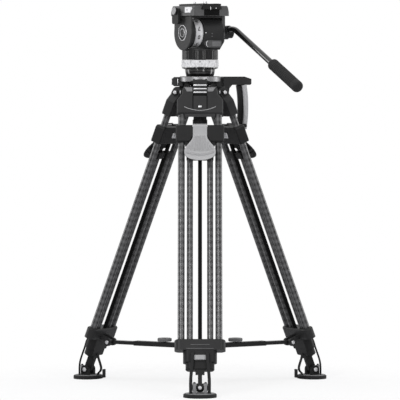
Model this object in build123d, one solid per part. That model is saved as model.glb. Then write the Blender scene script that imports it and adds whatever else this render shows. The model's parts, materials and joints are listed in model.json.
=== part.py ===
from build123d import *
import math
import os

# Video tripod with a fluid head, in millimetres, built about the tripod's upright axis.
# The front leg points towards -Y, the other two stand 120 degrees either side of it.
LEGS = {"front": 0.0, "right": 120.0, "left": -120.0}

# Fits
RUN = 0.05
SEAT = 0.02
GAP = 0.4
ROOM = 0.3
SIDE_ROOM = 0.6

# Edge sizes shared by castings and turned parts
EDGE_FINE = 1.2
EDGE_SMALL = 1.5
EDGE = 2.0
EDGE_DEEP = 3.0

# Leg hinge and leg line
SPLAY = 22.0
SIN = math.sin(math.radians(SPLAY))
COS = math.cos(math.radians(SPLAY))
BLOCK_TOP_L = 645.0
BLOCK_H = 27.5
TIER2_H = 30.0
TIER3_H = 19.0
FOOT_DROP = 42.1
FOOT_L = BLOCK_TOP_L + BLOCK_H + GAP + TIER2_H + TIER3_H + FOOT_DROP
FOOT_PIVOT_Z = 23.63
HINGE_R = 44.0
HINGE_Z = FOOT_PIVOT_Z + FOOT_L * COS
BOLT_R = 5.0
BOLT_HEAD_R = 7.5
BOLT_HEAD_T = 2.8
BOLT_BEVEL = 0.8

# Crown casting and its spherical bowl
BALL_R = 37.5
BOWL_WALL = 8.5
RIM_R = 50.5
RIM_RISE = 40.0
RIM_Z = HINGE_Z + RIM_RISE
BAND_H = 14.0
BALL_RISE = 16.0
BALL_Z = RIM_Z + BALL_RISE
STUD_HOLE_R = 16.5
TONGUE_W = 35.0
TONGUE_R = 11.0
NECK_IN = 38.0
NECK_OUT = 50.0
PORT_REACH = 70.0
PORT_W = 24.0
PORT_H = 23.0
PORT_HOLE_R = 4.76
PORT_HOLE_L = 16.0
PORT_DROP = 2.0
PORT_ROOT = 7.0
PORT_BEVEL = 5.0

# Leg tubes and castings, distances measured down the leg from the hinge
TUBE_S = 45.9
TUBE_R = 8.5
INNER_S = 24.8
INNER_R = 7.5
WALL = 1.5
SHOULDER_T = 26.0
SHOULDER_TOP_W = 82.0
SHOULDER_HINGE_W = 91.0
SHOULDER_W = 115.0
SHOULDER_L = 61.0
SHOULDER_NECK_L = 4.0
SHOULDER_FLARE_L = 8.0
SHOULDER_WIDE_L = 24.0
TONGUE_ROOM = 3.0
TUBE_TOP_L = 30.0
TUBE_SHOWN = 30.5
HOUSING_TOP_L = SHOULDER_L + TUBE_SHOWN
HOUSING_L = 44.5
HOUSING_W = 120.0
HOUSING_OUT = 15.0
HOUSING_IN = 13.0
SKIRT_L = 20.0
SKIRT_T = 3.0
SKIRT_OUT = 11.5
SKIRT_ROOT = 2.0
HOUSING_CORNER_W = 4.0
HOUSING_CORNER_L = 5.0
HOUSING_BEVEL = 2.5
LEVER_TOP_W = 35.0
LEVER_W = 77.0
LEVER_L = 99.0
LEVER_T = 7.0
LEVER_PIN_R = 3.0
LEVER_PIN_DOWN = 10.0
LEVER_PIN_L = HOUSING_TOP_L + LEVER_PIN_DOWN
LEVER_PIN_OUT = 9.0
LEVER_TIP_OUT = 40.0
LEVER_SIDE = 0.8
LEVER_DROP = 3.0
LEVER_NECK_L = 28.0
LEVER_PROUD = 0.5
LEVER_BOW = 2.5
LEVER_TIP_L = 6.0
LEVER_LIP = 2.0
LEVER_UNDER_L = 5.0
LEVER_BACK = 4.5
LEVER_BACK_L = 3.0
LEVER_FLARE_L = 22.0
LEVER_FLARE_IN = 10.0
LEVER_WIDE_L = 40.0
LEVER_CORNER = 12.0
LEVER_PIN_IN = 7.5
PIN_END_ROOM = 0.5
MOUTH_L = 16.0
MOUTH_FLARE = 7.5
ROD_R = 4.75
ROD_IN = 6.0
ROD_DEEP = 10.0
ROD_ROOT = 5.0
ROD_SLOT_ROOM = 1.0
YOKE_DOWN = 26.0
YOKE_TOP_L = HOUSING_TOP_L + HOUSING_L + YOKE_DOWN
YOKE_H = 16.0
BLOCK_W = 124.0
BLOCK_T = 26.0
TIER2_W = 82.0
TIER3_W = 70.0
SOCKET_DEEP = 20.0

# Spreader lug on the brake block
LUG_DOWN = 26.8
LUG_L = BLOCK_TOP_L + LUG_DOWN
LUG_IN = 35.0
LUG_R = 10.0
LUG_T = 7.0
LUG_BOLT_R = 4.0
LUG_BOLT_OUT = 2.0

# Foot
FOOT_TONGUE_W = 18.0
FOOT_NECK_W = 10.0
FOOT_BOSS_W = 22.0
FOOT_BOSS_H = 8.0
FOOT_TONGUE_T = 20.0
FOOT_PIN_R = 5.0
FOOT_EAR_T = 8.0
FOOT_EAR_R = 11.0
PAD_X = 81.0
PAD_Y = 72.0
PAD_T = 9.0
PAD_PIN_OUT = 1.5

# Spreader
ARM_W = 22.0
ARM_H = 11.7
SLIDE_W = 16.0
SLIDE_H = 9.0
OUTER_REACH = 188.0
OUTER_START = 37.0
INNER_START = 101.5
HUB_PIVOT_R = 42.0
TRUNNION_R = 3.0
TRUNNION_L = 5.0
TRUNNION_ROOT = 1.0
CRADLE_ROOM = 0.35
CRADLE_HALF = 6.0
HUB_R = 52.0
HUB_T = 5.0
HUB_HOLE_R = 14.0
HUB_UNDER = 3.0
HUB_BEVEL = 1.0
HUB_SLOT_R = 35.0
EYE_WALL = 2.0
KNOB_AT = 103.0
KNOB_R = 18.0
KNOB_H = 10.0
KNOB_STUD_R = 3.0
STUD_ROOT = 1.0

# Carry handle on the right leg
GRIP_W = 36.0
GRIP_T = 16.0
GRIP_R = 119.5
GRIP_BULGE = 5.0
GRIP_RISE = 18.0
GRIP_DROP = 92.0
ARM_T = 21.0
GRIP_TOP_Z = HINGE_Z + GRIP_RISE
GRIP_BOTTOM_Z = HINGE_Z - GRIP_DROP
ARM_TOP_Z = GRIP_TOP_Z + ARM_T
ARM_TIP_R = 142.0
ARM_ROOT_R = 60.0
ARM_BEVEL = 3.0
ARM_NOSE_H = 6.0
ARM_NOSE_L = 20.0
ARM_UNDER_R = 26.0
ARM_HOLLOW_R = 18.0
ARM_HOLLOW_Z = 8.0
WEB_LOW_OUT = 5.0
WEB_LOW_UP = 3.0
WEB_TOP_OUT = 9.0
WEB_TOP_UP = 8.0
BRACKET_W = 26.0
TAB_T = 6.0
GRIP_EDGE = 4.5
FOOT_TOP_L = 26.0
FOOT_LOW_L = 52.0
TAB_ROOT_IN = 3.0
TAB_ROOT_L = 2.0
TAB_ROOT_H = 18.0
TAB_TIP_TOP = 9.0
TAB_TIP_LOW = 1.0
TAB_TIP_TOP_IN = 4.0
TAB_TIP_LOW_IN = 3.0

# Levelling base and tie-down
CUP_T = 3.7
CUP_DROP = 40.0
CUP_TOP_Z = BALL_Z - CUP_DROP
FLANGE_R = 45.5
FLANGE_RISE = 1.0
FLANGE_Z = BALL_Z + FLANGE_RISE
FLANGE_T = 5.5
STUD_R = 6.0
STUD_SIDE_ROOM = 0.4
STUD_END_ROOM = 0.5
CUP_SLOT_TURN = 135.0
BALL_FLAT = 4.0
SKIRT_H = 3.0
LEVEL_SWING = 8.0
TIE_KNOB_R = 18.5
TIE_KNOB_H = 14.0
TIE_DROP = 82.0
TIE_KNOB_Z = HINGE_Z - TIE_DROP
TIE_GROOVES = 8
TIE_GROOVE_R = 2.4
TIE_GROOVE_OUT = 0.9
TIE_CAP_T = 2.5
TIE_STUD_END = 3.0
SPINDLE_R = 15.0
SPINDLE_IN = 19.0

# Fluid head, in its own frame: X along the tilt axis, the operator on the -Y side
HEAD_YAW = 30.0
RING_R = 47.0
RING_GAP = 0.7
RING_Z = FLANGE_Z + FLANGE_T + RING_GAP
RING_H = 17.3
PAN_R = 44.5
PAN_GAP = 0.5
PAN_H = 28.0
TILT_RISE = 39.0
PAN_Z = RING_Z + RING_H + PAN_GAP
PAN_TOP_Z = PAN_Z + PAN_H
SPINDLE_TOP_Z = PAN_Z + SPINDLE_IN
TILT_Z = PAN_TOP_Z + TILT_RISE
BODY_R = 41.0
BODY_LEFT = -9.0
BODY_RIGHT = 49.0
AXLE_R = 8.0
SLEEVE_R = 14.0
DIAL_R = 35.0
DIAL_W = 23.8
DIAL_LEFT = BODY_LEFT - GAP - DIAL_W
CHEEK_T = 4.5
BOSS_T = 11.9
CHEEK_IN = DIAL_LEFT - GAP - BOSS_T
CHEEK_OUT = CHEEK_IN - CHEEK_T
CHEEK_R = 44.0
CHEEK_TOP_HALF = 43.0
CHEEK_BOSS_R = TILT_RISE - SIDE_ROOM
ROTOR_R = 26.0
ROTOR_IN = 8.0
ROTOR_W = 24.0
ROTOR_LEFT = BODY_LEFT + ROTOR_IN
ROTOR_RIGHT = ROTOR_LEFT + ROTOR_W
ROTOR_ROOM = 2.0
TRUNK_SINK = 6.0
TRUNK_SKIRT = 3.0
TRUNK_EDGE = 5.0
TAPER_W = 16.0
TAPER_H = 24.0
CUT_REACH = 80.0
CUT_H = 60.0
ARM_PLATE_T = 8.4
ARM_RIGHT = BODY_RIGHT + SIDE_ROOM + ARM_PLATE_T
ARM_DISC_R = 25.0
TOP_T = 25.0
TOP_CLEAR = 1.0
TOP_Z = TILT_Z + BODY_R + TOP_CLEAR + TOP_T
TOP_HALF = 55.0
TOP_SLANT = 9.0
TOP_WALL_H = 10.0
TOP_CORNER = 6.0
AXLE_END = 1.0
PLATE_T = 5.0
PLATE_TOP_Z = TOP_Z + PLATE_T
PLATE_LEN = 120.0
PLATE_HALF = 26.0
DOVE_FLOOR = 9.0
DOVE_HALF = 28.5
DOVE_NECK = 25.0
SCREW_AT = 26.0
SCREW_OUT = 6.0
SCREW_BIG_R = 4.76
SCREW_SMALL_R = 3.175
SCREW_HEAD_T = 5.0
SCREW_HEAD_OVER = 3.5
SCREW_FLOAT = 1.5
SCREW_SINK = 1.0
SCREW_UNDERCUT = 0.8
SCREW_NECK_OUT = 0.6
LOCK_Y = 14.0
LOCK_SINK = 13.0
LOCK_Z = TOP_Z - LOCK_SINK
LOCK_PIN_R = 4.0
LOCK_T = 7.0
LOCK_LEN = 32.0
LOCK_OFF = 1.0
LOCK_BACK = 14.0
LOCK_FRONT = 17.0
LOCK_RISE = 8.0
LOCK_EDGE = 6.0
LOCK_BOSS_R = 9.0
LOCK_BOSS_T = 3.0
LOCK_PIN_L = 11.0
PIN_DEEP = 12.0
BUTTON_Y = -36.0
BUTTON_W = 24.0
BUTTON_H = 14.0
BUTTON_OUT = 3.0
BUTTON_TRAVEL = 2.5
BUTTON_RISE = 7.5
BUTTON_DEEP = 5.0
BUTTON_BACK = 0.5
BUTTON_BEVEL = 1.0
BRAKE_X = -3.0
BRAKE_SINK = 27.5
BRAKE_Z = TILT_Z - BRAKE_SINK
BRAKE_R = 9.0
BRAKE_LEN = 37.0
BRAKE_T = 7.5
BRAKE_OFF = 1.0
BRAKE_EDGE = 5.0
BRAKE_BOSS_T = 1.5
BRAKE_PIN_R = 4.0
BRAKE_PIN_L = 9.0
BRAKE_HOLE_L = 10.0

# Pan bar
BAR_ASIDE = 10.4
BAR_RISE = 9.0
BAR_X = ARM_RIGHT + BAR_ASIDE
BAR_Z = TILT_Z + BAR_RISE
BAR_R = 7.5
BAR_START = -6.0
BAR_BEND = -55.0
BAR_DROP = 25.4
BAR_SLOPE_L = 202.0
BAR_GRIP_L = 135.0
BAR_GRIP_R = 14.5
BAR_BEND_R = 60.0
GRIP_END_L = 20.0
GRIP_DOME = 8.0
GRIP_COLLAR = 2.5
CLAMP_W = 20.0
CLAMP_OUT = ARM_RIGHT + GAP + CLAMP_W
SOCKET_WALL = 2.0
CLAMP_R = 16.0
CLAMP_KNOB_R = 13.0
CLAMP_KNOB_H = 13.0
CLAMP_STUD_R = 4.0
CLAMP_STUD_L = 8.0
CLAMP_HOLE_L = 9.0
CLAMP_NOTCHES = 6
CLAMP_NOTCH_R = 3.0
CLAMP_NOTCH_OUT = 1.5
SOCKET_L = 22.0
SOCKET_BACK = 4.0

# Values that follow from the ones above
LUG_R_AT = HINGE_R + LUG_L * SIN - LUG_IN * COS
LUG_Z_AT = HINGE_Z - LUG_L * COS - LUG_IN * SIN
FOOT_R_AT = HINGE_R + FOOT_L * SIN
FOOT_Z_AT = HINGE_Z - FOOT_L * COS
FRONT_REACH = FOOT_R_AT + PAD_Y / 2
REAR_REACH = FOOT_R_AT / 2 + math.hypot(PAD_Y / 4, PAD_X / 2 * math.sqrt(0.75))
AXIS_Y = (FRONT_REACH - REAR_REACH) / 2


def block(x0, x1, y0, y1, z0, z1):
    return Pos((x0 + x1) / 2, (y0 + y1) / 2, (z0 + z1) / 2) * Box(x1 - x0, y1 - y0, z1 - z0)


def rod_x(r, x0, x1, y=0.0, z=0.0):
    return Pos((x0 + x1) / 2, y, z) * Rot(0, 90, 0) * Cylinder(r, x1 - x0)


def rod_y(r, y0, y1, x=0.0, z=0.0):
    return Pos(x, (y0 + y1) / 2, z) * Rot(90, 0, 0) * Cylinder(r, y1 - y0)


def rod_z(r, z0, z1, x=0.0, y=0.0):
    return Pos(x, y, (z0 + z1) / 2) * Cylinder(r, z1 - z0)


def slab(points, direction, length):
    """A flat outline given as 3-D points, pushed out along a direction."""
    return extrude(Face(Wire.make_polygon(points)), amount=length, dir=direction)


def outline_y(points, y0, y1):
    return slab([(x, y0, z) for x, z in points], (0, 1, 0), y1 - y0)


def outline_x(points, x0, x1):
    return slab([(x0, y, z) for y, z in points], (1, 0, 0), x1 - x0)


def mirrored(points):
    """A right-hand outline, top to bottom, closed by its mirror image."""
    return points + [(-x, z) for x, z in reversed(points)]


def on_leg(shape, azimuth):
    """From the leg's own frame, hinge at its origin and leg along -Z, to its place."""
    return Rot(0, 0, azimuth) * Pos(0, -HINGE_R, HINGE_Z) * Rot(-SPLAY, 0, 0) * shape


def on_head(shape):
    return Rot(0, 0, HEAD_YAW) * shape


def crown():
    body = rod_z(RIM_R, RIM_Z - BAND_H, RIM_Z)
    body = chamfer(body.edges().filter_by(GeomType.CIRCLE).group_by(Axis.Z)[-1], EDGE_SMALL)
    shell = Pos(0, 0, BALL_Z) * Sphere(BALL_R + BOWL_WALL)
    under = block(-RIM_R, RIM_R, -RIM_R, RIM_R, BALL_Z - 2 * RIM_R, RIM_Z - BAND_H / 2)
    body = body + (shell & under)
    for azimuth in LEGS.values():
        neck = block(-TONGUE_W / 2, TONGUE_W / 2, -NECK_OUT, -NECK_IN, HINGE_Z, RIM_Z - BAND_H / 2)
        eye = rod_x(TONGUE_R, -TONGUE_W / 2, TONGUE_W / 2, -HINGE_R, HINGE_Z)
        hole = rod_x(BOLT_R + SEAT, -TONGUE_W, TONGUE_W, -HINGE_R, HINGE_Z)
        body = body + Rot(0, 0, azimuth) * (neck + eye)
        body = body - Rot(0, 0, azimuth) * hole
    low = RIM_Z - PORT_DROP - PORT_H
    port = block(-PORT_REACH, -RIM_R + PORT_ROOT, -PORT_W / 2, PORT_W / 2, low, low + PORT_H)
    port = chamfer(port.edges().filter_by(Axis.Y).group_by(Axis.X)[0], PORT_BEVEL)
    body = body + port
    body = body - rod_x(PORT_HOLE_R, -PORT_REACH, -PORT_REACH + PORT_HOLE_L, 0, low + PORT_H / 2)
    body = body - Pos(0, 0, BALL_Z) * Sphere(BALL_R + RUN)
    return body - rod_z(STUD_HOLE_R, HINGE_Z, BALL_Z)


def hinge_bolts():
    half = SHOULDER_HINGE_W / 2 + GAP
    bolt = rod_x(BOLT_R, -half, half)
    for side in (-1, 1):
        head = rod_x(BOLT_HEAD_R, 0, BOLT_HEAD_T)
        head = chamfer(head.edges().filter_by(GeomType.CIRCLE).group_by(Axis.X)[-1], BOLT_BEVEL)
        bolt = bolt + Rot(0, 0, 0 if side > 0 else 180) * Pos(half, 0, 0) * head
    return [on_leg(bolt, azimuth) for azimuth in LEGS.values()]


def shoulder():
    half_t = SHOULDER_T / 2
    right = [
        (SHOULDER_TOP_W / 2, half_t),
        (SHOULDER_HINGE_W / 2, -SHOULDER_NECK_L),
        (SHOULDER_HINGE_W / 2, -SHOULDER_FLARE_L),
        (SHOULDER_W / 2, -SHOULDER_WIDE_L),
        (SHOULDER_W / 2, -SHOULDER_L),
    ]
    body = outline_y(mirrored(right), -half_t, half_t)
    body = chamfer(body.edges().group_by(Axis.Y)[0], EDGE_DEEP)
    body = chamfer(body.edges().group_by(Axis.Y)[-1], EDGE)
    wide = SHOULDER_W
    crest = rod_x(half_t, -wide, wide) + block(-wide, wide, -half_t, half_t, -SHOULDER_L, 0)
    body = body & crest
    slot = TONGUE_W / 2 + GAP
    body = body - block(-slot, slot, -half_t, half_t, -TONGUE_R - TONGUE_ROOM, half_t)
    body = body - rod_x(BOLT_R + RUN, -wide, wide)
    for side in (-1, 1):
        body = body - rod_z(TUBE_R + SEAT, -SHOULDER_L, -TUBE_TOP_L, side * TUBE_S)
    return body


def tube(r, top, bottom, x):
    return rod_z(r, -bottom, -top, x) - rod_z(r - WALL, -bottom, -top, x)


def upper_tubes():
    bottom = BLOCK_TOP_L + SOCKET_DEEP
    return [tube(TUBE_R, TUBE_TOP_L, bottom, side * TUBE_S) for side in (-1, 1)]


def lever_housing():
    low = HOUSING_TOP_L + HOUSING_L
    half = HOUSING_W / 2
    right = [
        (half - HOUSING_CORNER_W, -HOUSING_TOP_L),
        (half, -HOUSING_TOP_L - HOUSING_CORNER_L),
        (half, -low),
    ]
    body = outline_y(mirrored(right), -HOUSING_OUT, HOUSING_IN)
    body = chamfer(body.edges().group_by(Axis.Y)[0], HOUSING_BEVEL)
    body = chamfer(body.edges().group_by(Axis.Y)[-1], EDGE)
    slot = LEVER_TOP_W / 2 + LEVER_SIDE
    mouth = [(slot, -HOUSING_TOP_L), (slot, -low + MOUTH_L), (slot + MOUTH_FLARE, -low)]
    body = body - outline_y(mirrored(mouth), -HOUSING_OUT, 0)
    for side in (-1, 1):
        body = body - rod_z(TUBE_R + SEAT, -low, -HOUSING_TOP_L, side * TUBE_S)
    body = body - rod_z(ROD_R + SEAT, -low, -low + ROD_DEEP, 0, ROD_IN)
    reach = TUBE_S - TUBE_R - SIDE_ROOM
    skirt = block(-reach, reach, -SKIRT_OUT, -SKIRT_OUT + SKIRT_T, -low - SKIRT_L, -low)
    skirt = chamfer(skirt.edges().filter_by(Axis.Y).group_by(Axis.Z)[0], SKIRT_L / 2)
    root = block(-reach, reach, -SKIRT_OUT, -SKIRT_OUT + SKIRT_T, -low, -low + SKIRT_ROOT)
    body = body + skirt + (root - outline_y(mirrored(mouth), -HOUSING_OUT, 0))
    pin = LEVER_TOP_W / 2 + LEVER_PIN_IN + PIN_END_ROOM
    return body - rod_x(LEVER_PIN_R + RUN, -pin, pin, -LEVER_PIN_OUT, -LEVER_PIN_L)


def release_lever():
    top = HOUSING_TOP_L + LEVER_DROP
    bottom = top + LEVER_L
    bend = top + LEVER_NECK_L
    side = [
        (-HOUSING_OUT - LEVER_PROUD, -top),
        (-HOUSING_OUT - LEVER_BOW, -bend),
        (-LEVER_TIP_OUT, -bottom + LEVER_TIP_L),
        (-LEVER_TIP_OUT, -bottom),
        (-LEVER_TIP_OUT + LEVER_T + LEVER_LIP, -bottom),
        (-HOUSING_OUT + LEVER_T - LEVER_BOW, -bend - LEVER_UNDER_L),
        (-LEVER_PIN_OUT + LEVER_BACK, -bend + LEVER_BACK_L),
        (-LEVER_PIN_OUT + LEVER_BACK, -top),
    ]
    front = [
        (LEVER_TOP_W / 2, -top),
        (LEVER_TOP_W / 2, -bend),
        (LEVER_W / 2 - LEVER_FLARE_IN, -bend - LEVER_FLARE_L),
        (LEVER_W / 2, -bend - LEVER_WIDE_L),
        (LEVER_W / 2, -bottom + LEVER_CORNER),
        (LEVER_W / 2 - LEVER_CORNER, -bottom),
    ]
    body = outline_x(side, -LEVER_W / 2, LEVER_W / 2)
    body = body & outline_y(mirrored(front), -LEVER_TIP_OUT, 0)
    pin = LEVER_TOP_W / 2 + LEVER_PIN_IN
    return body + rod_x(LEVER_PIN_R, -pin, pin, -LEVER_PIN_OUT, -LEVER_PIN_L)


def stadium(width, thick, top, bottom):
    reach = width / 2 - thick / 2
    body = block(-reach, reach, -thick / 2, thick / 2, -bottom, -top)
    for side in (-1, 1):
        body = body + rod_z(thick / 2, -bottom, -top, side * reach)
    return body


def brake_block():
    bottom = BLOCK_TOP_L + BLOCK_H
    body = stadium(BLOCK_W, BLOCK_T, BLOCK_TOP_L, bottom)
    body = chamfer(body.edges().group_by(Axis.Z)[-1], EDGE)
    inside = SLIDE_W / 2 + GAP
    for side in (-1, 1):
        near = side * inside
        far = side * (inside + LUG_T)
        ear = block(min(near, far), max(near, far), 0, LUG_IN, -bottom, -LUG_L + LUG_R)
        ear = ear + rod_x(LUG_R, min(near, far), max(near, far), LUG_IN, -LUG_L)
        body = body + ear
    reach = inside + LUG_T + LUG_BOLT_OUT
    body = body + rod_x(LUG_BOLT_R, -reach, reach, LUG_IN, -LUG_L)
    for side in (-1, 1):
        body = body - rod_z(TUBE_R + SEAT, -BLOCK_TOP_L - SOCKET_DEEP, -BLOCK_TOP_L, side * TUBE_S)
        body = body - rod_z(INNER_R + RUN, -bottom, -BLOCK_TOP_L, side * INNER_S)
    top = HOUSING_TOP_L + HOUSING_L - ROD_DEEP
    return body + rod_z(ROD_R, -BLOCK_TOP_L - ROD_ROOT, -top, 0, ROD_IN)


def lower_tubes():
    bottom = BLOCK_TOP_L + BLOCK_H + GAP + SOCKET_DEEP
    low = YOKE_TOP_L + YOKE_H
    half = INNER_S + INNER_R
    body = block(-half, half, -INNER_R, INNER_R, -low, -YOKE_TOP_L)
    body = chamfer(body.edges().filter_by(Axis.Z), EDGE_DEEP)
    slot = ROD_R + ROD_SLOT_ROOM
    body = body - block(-slot, slot, 0, INNER_R, -low, -YOKE_TOP_L)
    for side in (-1, 1):
        x = side * INNER_S
        body = body + rod_z(INNER_R, -bottom, -YOKE_TOP_L, x)
    for side in (-1, 1):
        x = side * INNER_S
        body = body - rod_z(INNER_R - WALL, -bottom, -YOKE_TOP_L, x)
    return body


def foot_block():
    top = BLOCK_TOP_L + BLOCK_H + GAP
    mid = top + TIER2_H
    low = mid + TIER3_H
    body = stadium(TIER2_W, BLOCK_T, top, mid)
    body = body + stadium(TIER3_W, BLOCK_T - EDGE, mid, low)
    body = chamfer(body.edges().group_by(Axis.Z)[0], EDGE)
    half = FOOT_TONGUE_W / 2
    thick = FOOT_TONGUE_T / 2
    body = body + block(-FOOT_NECK_W / 2, FOOT_NECK_W / 2, -thick, thick, -FOOT_L, -low)
    body = body + block(-FOOT_BOSS_W / 2, FOOT_BOSS_W / 2, -thick, thick, -low - FOOT_BOSS_H, -low)
    body = body + rod_x(thick, -half, half, 0, -FOOT_L)
    body = body - rod_x(FOOT_PIN_R + RUN, -half, half, 0, -FOOT_L)
    for side in (-1, 1):
        body = body - rod_z(INNER_R + SEAT, -top - SOCKET_DEEP, -top, side * INNER_S)
    return body


def foot_pad(azimuth):
    sole = extrude(Ellipse(PAD_X / 2, PAD_Y / 2), amount=PAD_T)
    sole = fillet(sole.edges().group_by(Axis.Z)[-1], EDGE_DEEP)
    near = FOOT_TONGUE_W / 2 + GAP
    far = near + FOOT_EAR_T
    for side in (-1, 1):
        x0 = min(side * near, side * far)
        x1 = max(side * near, side * far)
        ear = block(x0, x1, -FOOT_EAR_R, FOOT_EAR_R, PAD_T / 2, FOOT_Z_AT)
        sole = sole + ear + rod_x(FOOT_EAR_R, x0, x1, 0, FOOT_Z_AT)
    sole = sole + rod_x(FOOT_PIN_R, -far - PAD_PIN_OUT, far + PAD_PIN_OUT, 0, FOOT_Z_AT)
    return Rot(0, 0, azimuth) * Pos(0, -FOOT_R_AT, 0) * sole


def outer_arm(azimuth):
    z = LUG_Z_AT
    body = block(-ARM_W / 2, ARM_W / 2, -OUTER_REACH, -OUTER_START, z - ARM_H / 2, z + ARM_H / 2)
    body = chamfer(body.edges().filter_by(Axis.Y), EDGE_FINE)
    half_w = SLIDE_W / 2 + ROOM
    half_h = SLIDE_H / 2 + ROOM
    body = body - block(-half_w, half_w, -OUTER_REACH, -OUTER_START, z - half_h, z + half_h)
    for side in (-1, 1):
        x0 = side * (ARM_W / 2 - TRUNNION_ROOT)
        x1 = side * (ARM_W / 2 + TRUNNION_L)
        body = body + rod_x(TRUNNION_R, min(x0, x1), max(x0, x1), -HUB_PIVOT_R, z)
    body = body - rod_z(KNOB_STUD_R + RUN, z, z + ARM_H, 0, -KNOB_AT)
    return Rot(0, 0, azimuth) * body


def inner_arm(azimuth):
    z = LUG_Z_AT
    half = SLIDE_W / 2
    body = block(-half, half, -LUG_R_AT, -INNER_START, z - SLIDE_H / 2, z + SLIDE_H / 2)
    body = body + rod_x(SLIDE_H / 2 + EYE_WALL, -half, half, -LUG_R_AT, z)
    body = body - rod_x(LUG_BOLT_R + RUN, -half, half, -LUG_R_AT, z)
    return Rot(0, 0, azimuth) * body


def arm_knob(azimuth):
    top = LUG_Z_AT + ARM_H / 2
    low = top + GAP
    body = rod_z(KNOB_R, low, low + KNOB_H)
    body = fillet(body.edges().filter_by(GeomType.CIRCLE), EDGE_SMALL)
    body = body + rod_z(KNOB_STUD_R, LUG_Z_AT + SLIDE_H / 2 + SIDE_ROOM, low + STUD_ROOT)
    return Rot(0, 0, azimuth) * Pos(0, -KNOB_AT, 0) * body


def hub():
    z = LUG_Z_AT
    top = z - ARM_H / 2 - HUB_UNDER
    body = rod_z(HUB_R, top - HUB_T, top)
    body = chamfer(body.edges().filter_by(GeomType.CIRCLE), HUB_BEVEL)
    near = ARM_W / 2 + SIDE_ROOM
    far = near + TRUNNION_L
    for azimuth in LEGS.values():
        for side in (-1, 1):
            x0 = min(side * near, side * far)
            x1 = max(side * near, side * far)
            y0 = -HUB_PIVOT_R - CRADLE_HALF
            y1 = -HUB_PIVOT_R + CRADLE_HALF
            ear = block(x0, x1, y0, y1, top - HUB_BEVEL, z - TRUNNION_R / 2)
            ear = ear - rod_x(TRUNNION_R + CRADLE_ROOM, x0, x1, -HUB_PIVOT_R, z)
            body = body + Rot(0, 0, azimuth) * ear
        body = body - Rot(0, 0, azimuth) * block(-near, near, -2 * HUB_R, -HUB_SLOT_R, top - HUB_T, top)
    return body - rod_z(HUB_HOLE_R, top - HUB_T, top)


def handle_bracket():
    """Arm over the right leg, in the plane of that leg: outline as radius and height."""
    face = SHOULDER_T / 2

    def on_face(down):
        return (HINGE_R + down * SIN + face * COS, HINGE_Z - down * COS + face * SIN)

    foot_top = on_face(FOOT_TOP_L)
    foot_low = on_face(FOOT_LOW_L)
    points = [
        foot_top,
        foot_low,
        (foot_low[0] + WEB_LOW_OUT, foot_low[1] + WEB_LOW_UP),
        (foot_top[0] + WEB_TOP_OUT, foot_top[1] + WEB_TOP_UP),
        (ARM_ROOT_R + ARM_HOLLOW_R, GRIP_TOP_Z - ARM_HOLLOW_Z),
        (ARM_ROOT_R + ARM_UNDER_R, GRIP_TOP_Z),
        (ARM_TIP_R - ARM_BEVEL, GRIP_TOP_Z),
        (ARM_TIP_R, GRIP_TOP_Z + ARM_BEVEL),
        (ARM_TIP_R, ARM_TOP_Z - ARM_NOSE_H),
        (ARM_TIP_R - ARM_NOSE_L, ARM_TOP_Z),
        (ARM_ROOT_R + ARM_BEVEL, ARM_TOP_Z),
        (ARM_ROOT_R, ARM_TOP_Z - ARM_BEVEL),
    ]
    body = outline_x([(-r, z) for r, z in points], -BRACKET_W / 2, BRACKET_W / 2)
    return Rot(0, 0, LEGS["right"]) * body


def carry_handle():
    half = GRIP_T / 2
    mid = (GRIP_TOP_Z + GRIP_BOTTOM_Z) / 2

    def edge(r):
        return [(0, -r, GRIP_TOP_Z), (0, -r - GRIP_BULGE, mid), (0, -r, GRIP_BOTTOM_Z)]

    inside = ThreePointArc(*edge(GRIP_R - half))
    outside = ThreePointArc(*edge(GRIP_R + half))
    low = Line(inside @ 1, outside @ 1)
    high = Line(outside @ 0, inside @ 0)
    face = make_face([inside, low, outside, high])
    body = extrude(face, amount=GRIP_W / 2, both=True)
    body = fillet(body.edges().filter_by(GeomType.CIRCLE), GRIP_EDGE)
    return Rot(0, 0, LEGS["right"]) * body


def handle_tabs():
    """Two ears on the right lever housing that hold the handle's lower end, in the leg's frame."""
    r_in = GRIP_R - GRIP_T / 2
    drop = HINGE_Z - GRIP_BOTTOM_Z
    end_l = (r_in - HINGE_R) * SIN + drop * COS
    end_v = (r_in - HINGE_R) * COS - drop * SIN
    root = HOUSING_TOP_L + TAB_ROOT_L
    points = [
        (-HOUSING_OUT + TAB_ROOT_IN, -root),
        (-end_v - GRIP_T + TAB_TIP_TOP_IN, -end_l + TAB_TIP_TOP),
        (-end_v - GRIP_T + TAB_TIP_LOW_IN, -end_l + TAB_TIP_LOW),
        (-HOUSING_OUT + TAB_ROOT_IN, -root - TAB_ROOT_H),
    ]
    near = GRIP_W / 2
    parts = []
    for side in (-1, 1):
        x0 = side * near
        x1 = side * (near + TAB_T)
        parts.append(outline_x(points, min(x0, x1), max(x0, x1)))
    return parts


def clamp_cup():
    outer = BALL_R + BOWL_WALL + GAP + CUP_T
    body = Pos(0, 0, BALL_Z) * Sphere(outer) - Pos(0, 0, BALL_Z) * Sphere(outer - CUP_T)
    body = body & block(-outer, outer, -outer, outer, BALL_Z - 2 * outer, CUP_TOP_Z)
    reach = outer * math.sin(math.radians(LEVEL_SWING)) + STUD_END_ROOM
    low = BALL_Z - 2 * outer
    half = STUD_R + STUD_SIDE_ROOM
    slot = block(-reach, reach, -half, half, low, CUP_TOP_Z)
    slot = slot + rod_z(half, low, CUP_TOP_Z, reach) + rod_z(half, low, CUP_TOP_Z, -reach)
    return body - Rot(0, 0, CUP_SLOT_TURN) * slot


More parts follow.
